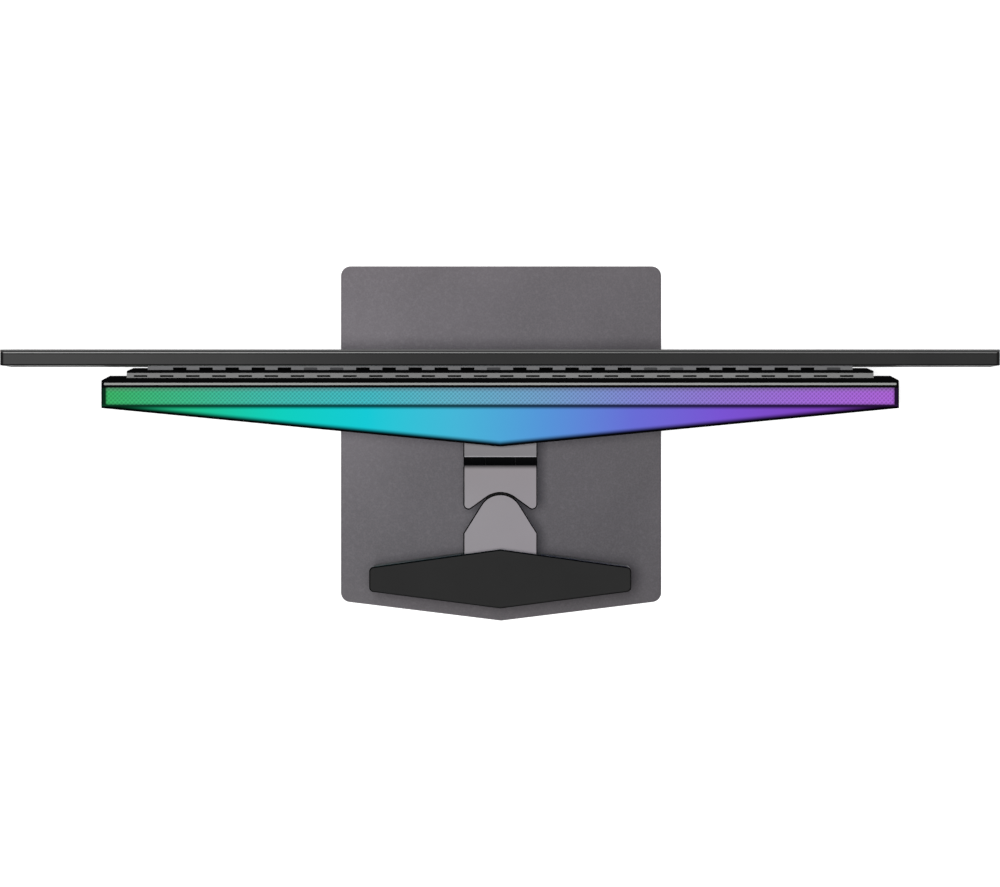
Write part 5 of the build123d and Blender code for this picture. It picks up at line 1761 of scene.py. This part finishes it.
@dataclass
class Lift:
    """The carriage in the column, and the two springs that carry it."""

    cast: Finish = Finish("carriage casting", "#9a9b9f", 0.5, 1.0, depth=0.02 * MM)
    wear: Finish = Finish("glide plastic", "#d3d1c7", 0.45, mottle=0.04)
    steel: Finish = Finish("spring steel", "#b2b3b7", 0.22, 1.0, relief=Relief.DRAWN)
    edge: float = 0.5 * MM
    tape_grid: tuple[int, int] = (25, 7)    # stations along a tape and across it
    tape_curl: float = 0.15 * MM
    tape_grip: float = 12 * MM      # from the carriage's foot up to the tapes' ends

    def build(self) -> None:
        """Dresses the carriage and makes the tapes that run off the coils."""
        eased("carriage", "arm", self.cast, self.edge)
        dress(self.wear, "glide_shoes")
        dress(self.steel, "spring_coils", "spool_pins")
        ScrewSet("arm_screws", "arm").build()
        self.tapes()

    def tapes(self) -> None:
        """Two steel tapes, curled across their width.

        Across its width, with s from -1 to 1, a tape stands off its plane by
        curl x (1/2 - s^2).
        """
        strips = []
        parts = solids("spring_tapes")
        along, across = self.tape_grid
        s = np.linspace(-1, 1, across)
        bow = self.tape_curl * (0.5 - s**2)
        for points in parts:
            low, high = extent(points)
            x = (low[0] + high[0]) / 2 + s * (high[0] - low[0]) / 2
            front, back = (np.stack([x, y - bow], axis=-1) for y in (low[1], high[1]))
            loop = np.concatenate([front, back[::-1]])
            loops = np.empty((along, len(loop), 3))
            loops[..., :2] = loop
            loops[..., 2] = np.linspace(low[2], high[2], along)[:, None]
            strips.append(tube(loops))
        low, high = extent(np.concatenate(parts))
        mesh = total(strips).mesh("lift_tapes")
        piece = linked("lift_tapes", mesh)
        mesh.materials.append(self.steel.material)
        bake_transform(piece)
        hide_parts("spring_tapes")
        LOG.info("lift_tapes: %d faces between base and arm", len(mesh.polygons))


@dataclass
class Column:
    """The hollow column: covers, cap, cable sleeve, and the channel inside."""

    body: str = "base"
    cover_edge: float = 0.6 * MM
    cap_edge: float = 0.45 * MM
    sleeve_edge: float = 0.5 * MM
    shell: Finish = Finish("column plastic", "#2c2c2c", 0.5, gloss=0.2, mottle=0.06)
    sleeve: Finish = Finish("sleeve plastic", "#121213", 0.5, gloss=0.25)
    steel: Finish = Finish("channel steel", "#95969a", 0.4, 1.0, relief=Relief.DRAWN)

    def build(self) -> None:
        """Rounds the covers and the cap, and dresses the rest."""
        for node in ("column_front_cover", "column_rear_cover"):
            eased(node, self.body, self.shell, self.cover_edge)
        # the cap's chamfered rim is painted dark as shade
        cap = OutlinedMetal(
            "cap plastic", "#282828", 0.55, gloss=0.04, edge_depth=1.2 * MM, dark="#020202",
            top=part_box("column_top_cap")[1].z,
        )
        eased("column_top_cap", self.body, cap, self.cap_edge)
        eased("cable_sleeve", self.body, self.sleeve, self.sleeve_edge, 3)
        dress(self.steel, "column_spine", "column_foot")


@dataclass
class Base:
    """The flat base plate with its rubber feet and screws."""

    body: str = "base"
    edge: float = 0.25 * MM
    sole: tuple[Span, ...] = (      # share of a pad's radius, and rise
        (0.2, 0.0), (0.48, 0.0), (0.52, 0.35 * MM), (0.58, 0.35 * MM), (0.62, 0.0), (0.76, 0.0),
        (0.8, 0.35 * MM), (0.85, 0.35 * MM), (0.89, 0.0), (0.95, 0.0), (0.985, 0.2 * MM),
        (1.0, 0.6 * MM),
    )
    # painted lighter towards +X and -Y and darker towards -X and +Y, as light from one side
    plate: Finish = PaintedLightGraded(
        "blasted base metal", "#757075", 0.5, gloss=0.1, mottle=0.2,
        relief=Relief.BLASTED, grain=1.1 * MM, depth=0.03 * MM,
        far="#535053", toward=(-0.7, 0.7), start=-190 * MM, end=190 * MM,
    )
    rubber: Finish = Finish("foot rubber", "#101010", 0.8, gloss=0.15, depth=0.02 * MM)

    def build(self) -> None:
        """Rounds the plate's edges and makes feet and screws."""
        eased("base_plate", self.body, self.plate, self.edge)
        ScrewSet("stand_screws", self.body).build()
        self.feet()

    def feet(self) -> None:
        """Round pads, each with two rings pressed into its sole."""
        made = []
        for points in solids("base_feet"):
            low, high = extent(points)
            r, middle = (high[0] - low[0]) / 2, (low + high) / 2
            rings = [*profile(self.sole, r, low[2]), Ring(r, high[2])]
            made.append(turned(rings).placed(Facing.UP, (middle[0], middle[1], 0.0)))
        mesh = total(made).mesh("feet_turned")
        add_piece("feet_turned", mesh, self.body, self.rubber, ["base_feet"])


# --------------------------------------------------------------------- studio
@dataclass
class Lamp:
    """A square soft light that faces the middle of the object."""

    name: str
    at: tuple[float, float, float]
    size: float
    power: float

    def build(self, aim: Vector) -> None:
        """Adds the lamp, turned to the aim.

        Args:
            aim: The point that the lamp faces.
        """
        data = bpy.data.lights.new(self.name, "AREA")
        data.size = self.size
        data.energy = self.power
        lamp = linked(self.name, data)
        lamp.location = self.at
        lamp.visible_camera = False
        lamp.rotation_euler = (aim - lamp.location).to_track_quat("-Z", "Y").to_euler()


@dataclass
class Studio:
    """Camera straight above, plain pale floor, soft lamps and a white surround."""

    lens: float = 1000.0            # millimetres
    camera_height: float = 17.04    # above the top of the panel
    camera_x: float = -0.025
    aim: Vector = field(default_factory=lambda: Vector((0, 0, 0.25)))
    floor_half: float = 20.0
    floor_z: float = -0.05 * MM
    floor_patch: float = 0.9
    floor_glow: float = 0.62        # of the floor where it is seen
    surround: float = 0.12          # what the white surround adds as light
    lamps: list[Lamp] = field(default_factory=lambda: [
        Lamp("top", (0.1, 0.03, 16.0), 0.5, 1640.0),
        Lamp("front", (0.8, -2.3, 0.55), 1.0, 18.0),
        Lamp("rear", (0.5, 2.4, 0.55), 1.0, 20.0),
        Lamp("side", (-2.1, 0.2, 0.7), 1.2, 8.0),
    ])

    def camera(self) -> None:
        """The camera looks down; the screen's side is at the top of the picture."""
        data = bpy.data.cameras.new("camera")
        data.lens = self.lens
        camera = linked("camera", data)
        camera.location = (self.camera_x, 0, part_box("panel_cover")[1].z + self.camera_height)
        camera.rotation_euler = (0, atan2(-self.camera_x, self.camera_height), pi)
        bpy.context.scene.camera = camera

    def build(self) -> None:
        """Lamps, surround and floor."""
        for lamp in self.lamps:
            lamp.build(self.aim)
        self.white_surround()
        self.floor()
        bpy.context.scene.view_settings.view_transform = "Standard"

    def white_surround(self) -> None:
        """White where it is seen, and a soft light everywhere else."""
        world = bpy.data.worlds.new("surround")
        bpy.context.scene.world = world
        nodes = NodeTree(world)
        light = nodes.feed_all(nodes.node("ShaderNodeBackground"), ("#ffffff", self.surround))
        shown = nodes.feed_all(nodes.node("ShaderNodeBackground"), ("#ffffff", 1.0))
        blend = nodes.feed_all(nodes.node("ShaderNodeMixShader"), (nodes.seen(), light, shown))
        nodes.feed(nodes.node("ShaderNodeOutputWorld").inputs[0], blend)

    def floor(self) -> None:
        """A pale floor that looks white except where the object shades it."""
        half, z = self.floor_half, self.floor_z
        mesh = bpy.data.meshes.new("floor")
        corners = [(-half, -half, z), (half, -half, z), (half, half, z), (-half, half, z)]
        mesh.from_pydata(corners, [], [(0, 1, 2, 3)])
        sheet = NodeSheet("pale floor")
        glow = sheet.mix(sheet.seen(), "#000000", "#ffffff")
        sheet.set("Base Color", sheet.mix(sheet.noise(self.floor_patch), "#e6e6e6", "#ededed"))
        sheet.set("Roughness", 0.9)
        sheet.set("Specular IOR Level", 0.0)
        sheet.set("Emission Color", sheet.dimmed(glow, self.floor_glow))
        sheet.set("Emission Strength", 1.0)
        mesh.materials.append(sheet.material)
        floor = linked("floor", mesh)


def main() -> None:
    """Builds the scene."""
    logging.basicConfig(level=logging.INFO, format="%(message)s")
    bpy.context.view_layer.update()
    studio = Studio()
    studio.camera()
    for assembly in (
        Base(), Column(), Lift(), Neck(), Panel(), LightHousing(), Mounting(), Electronics(),
        Controls(),
    ):
        LOG.info("-- %s", type(assembly).__name__)
        assembly.build()
    studio.build()


if __name__ == "__main__":
    main()
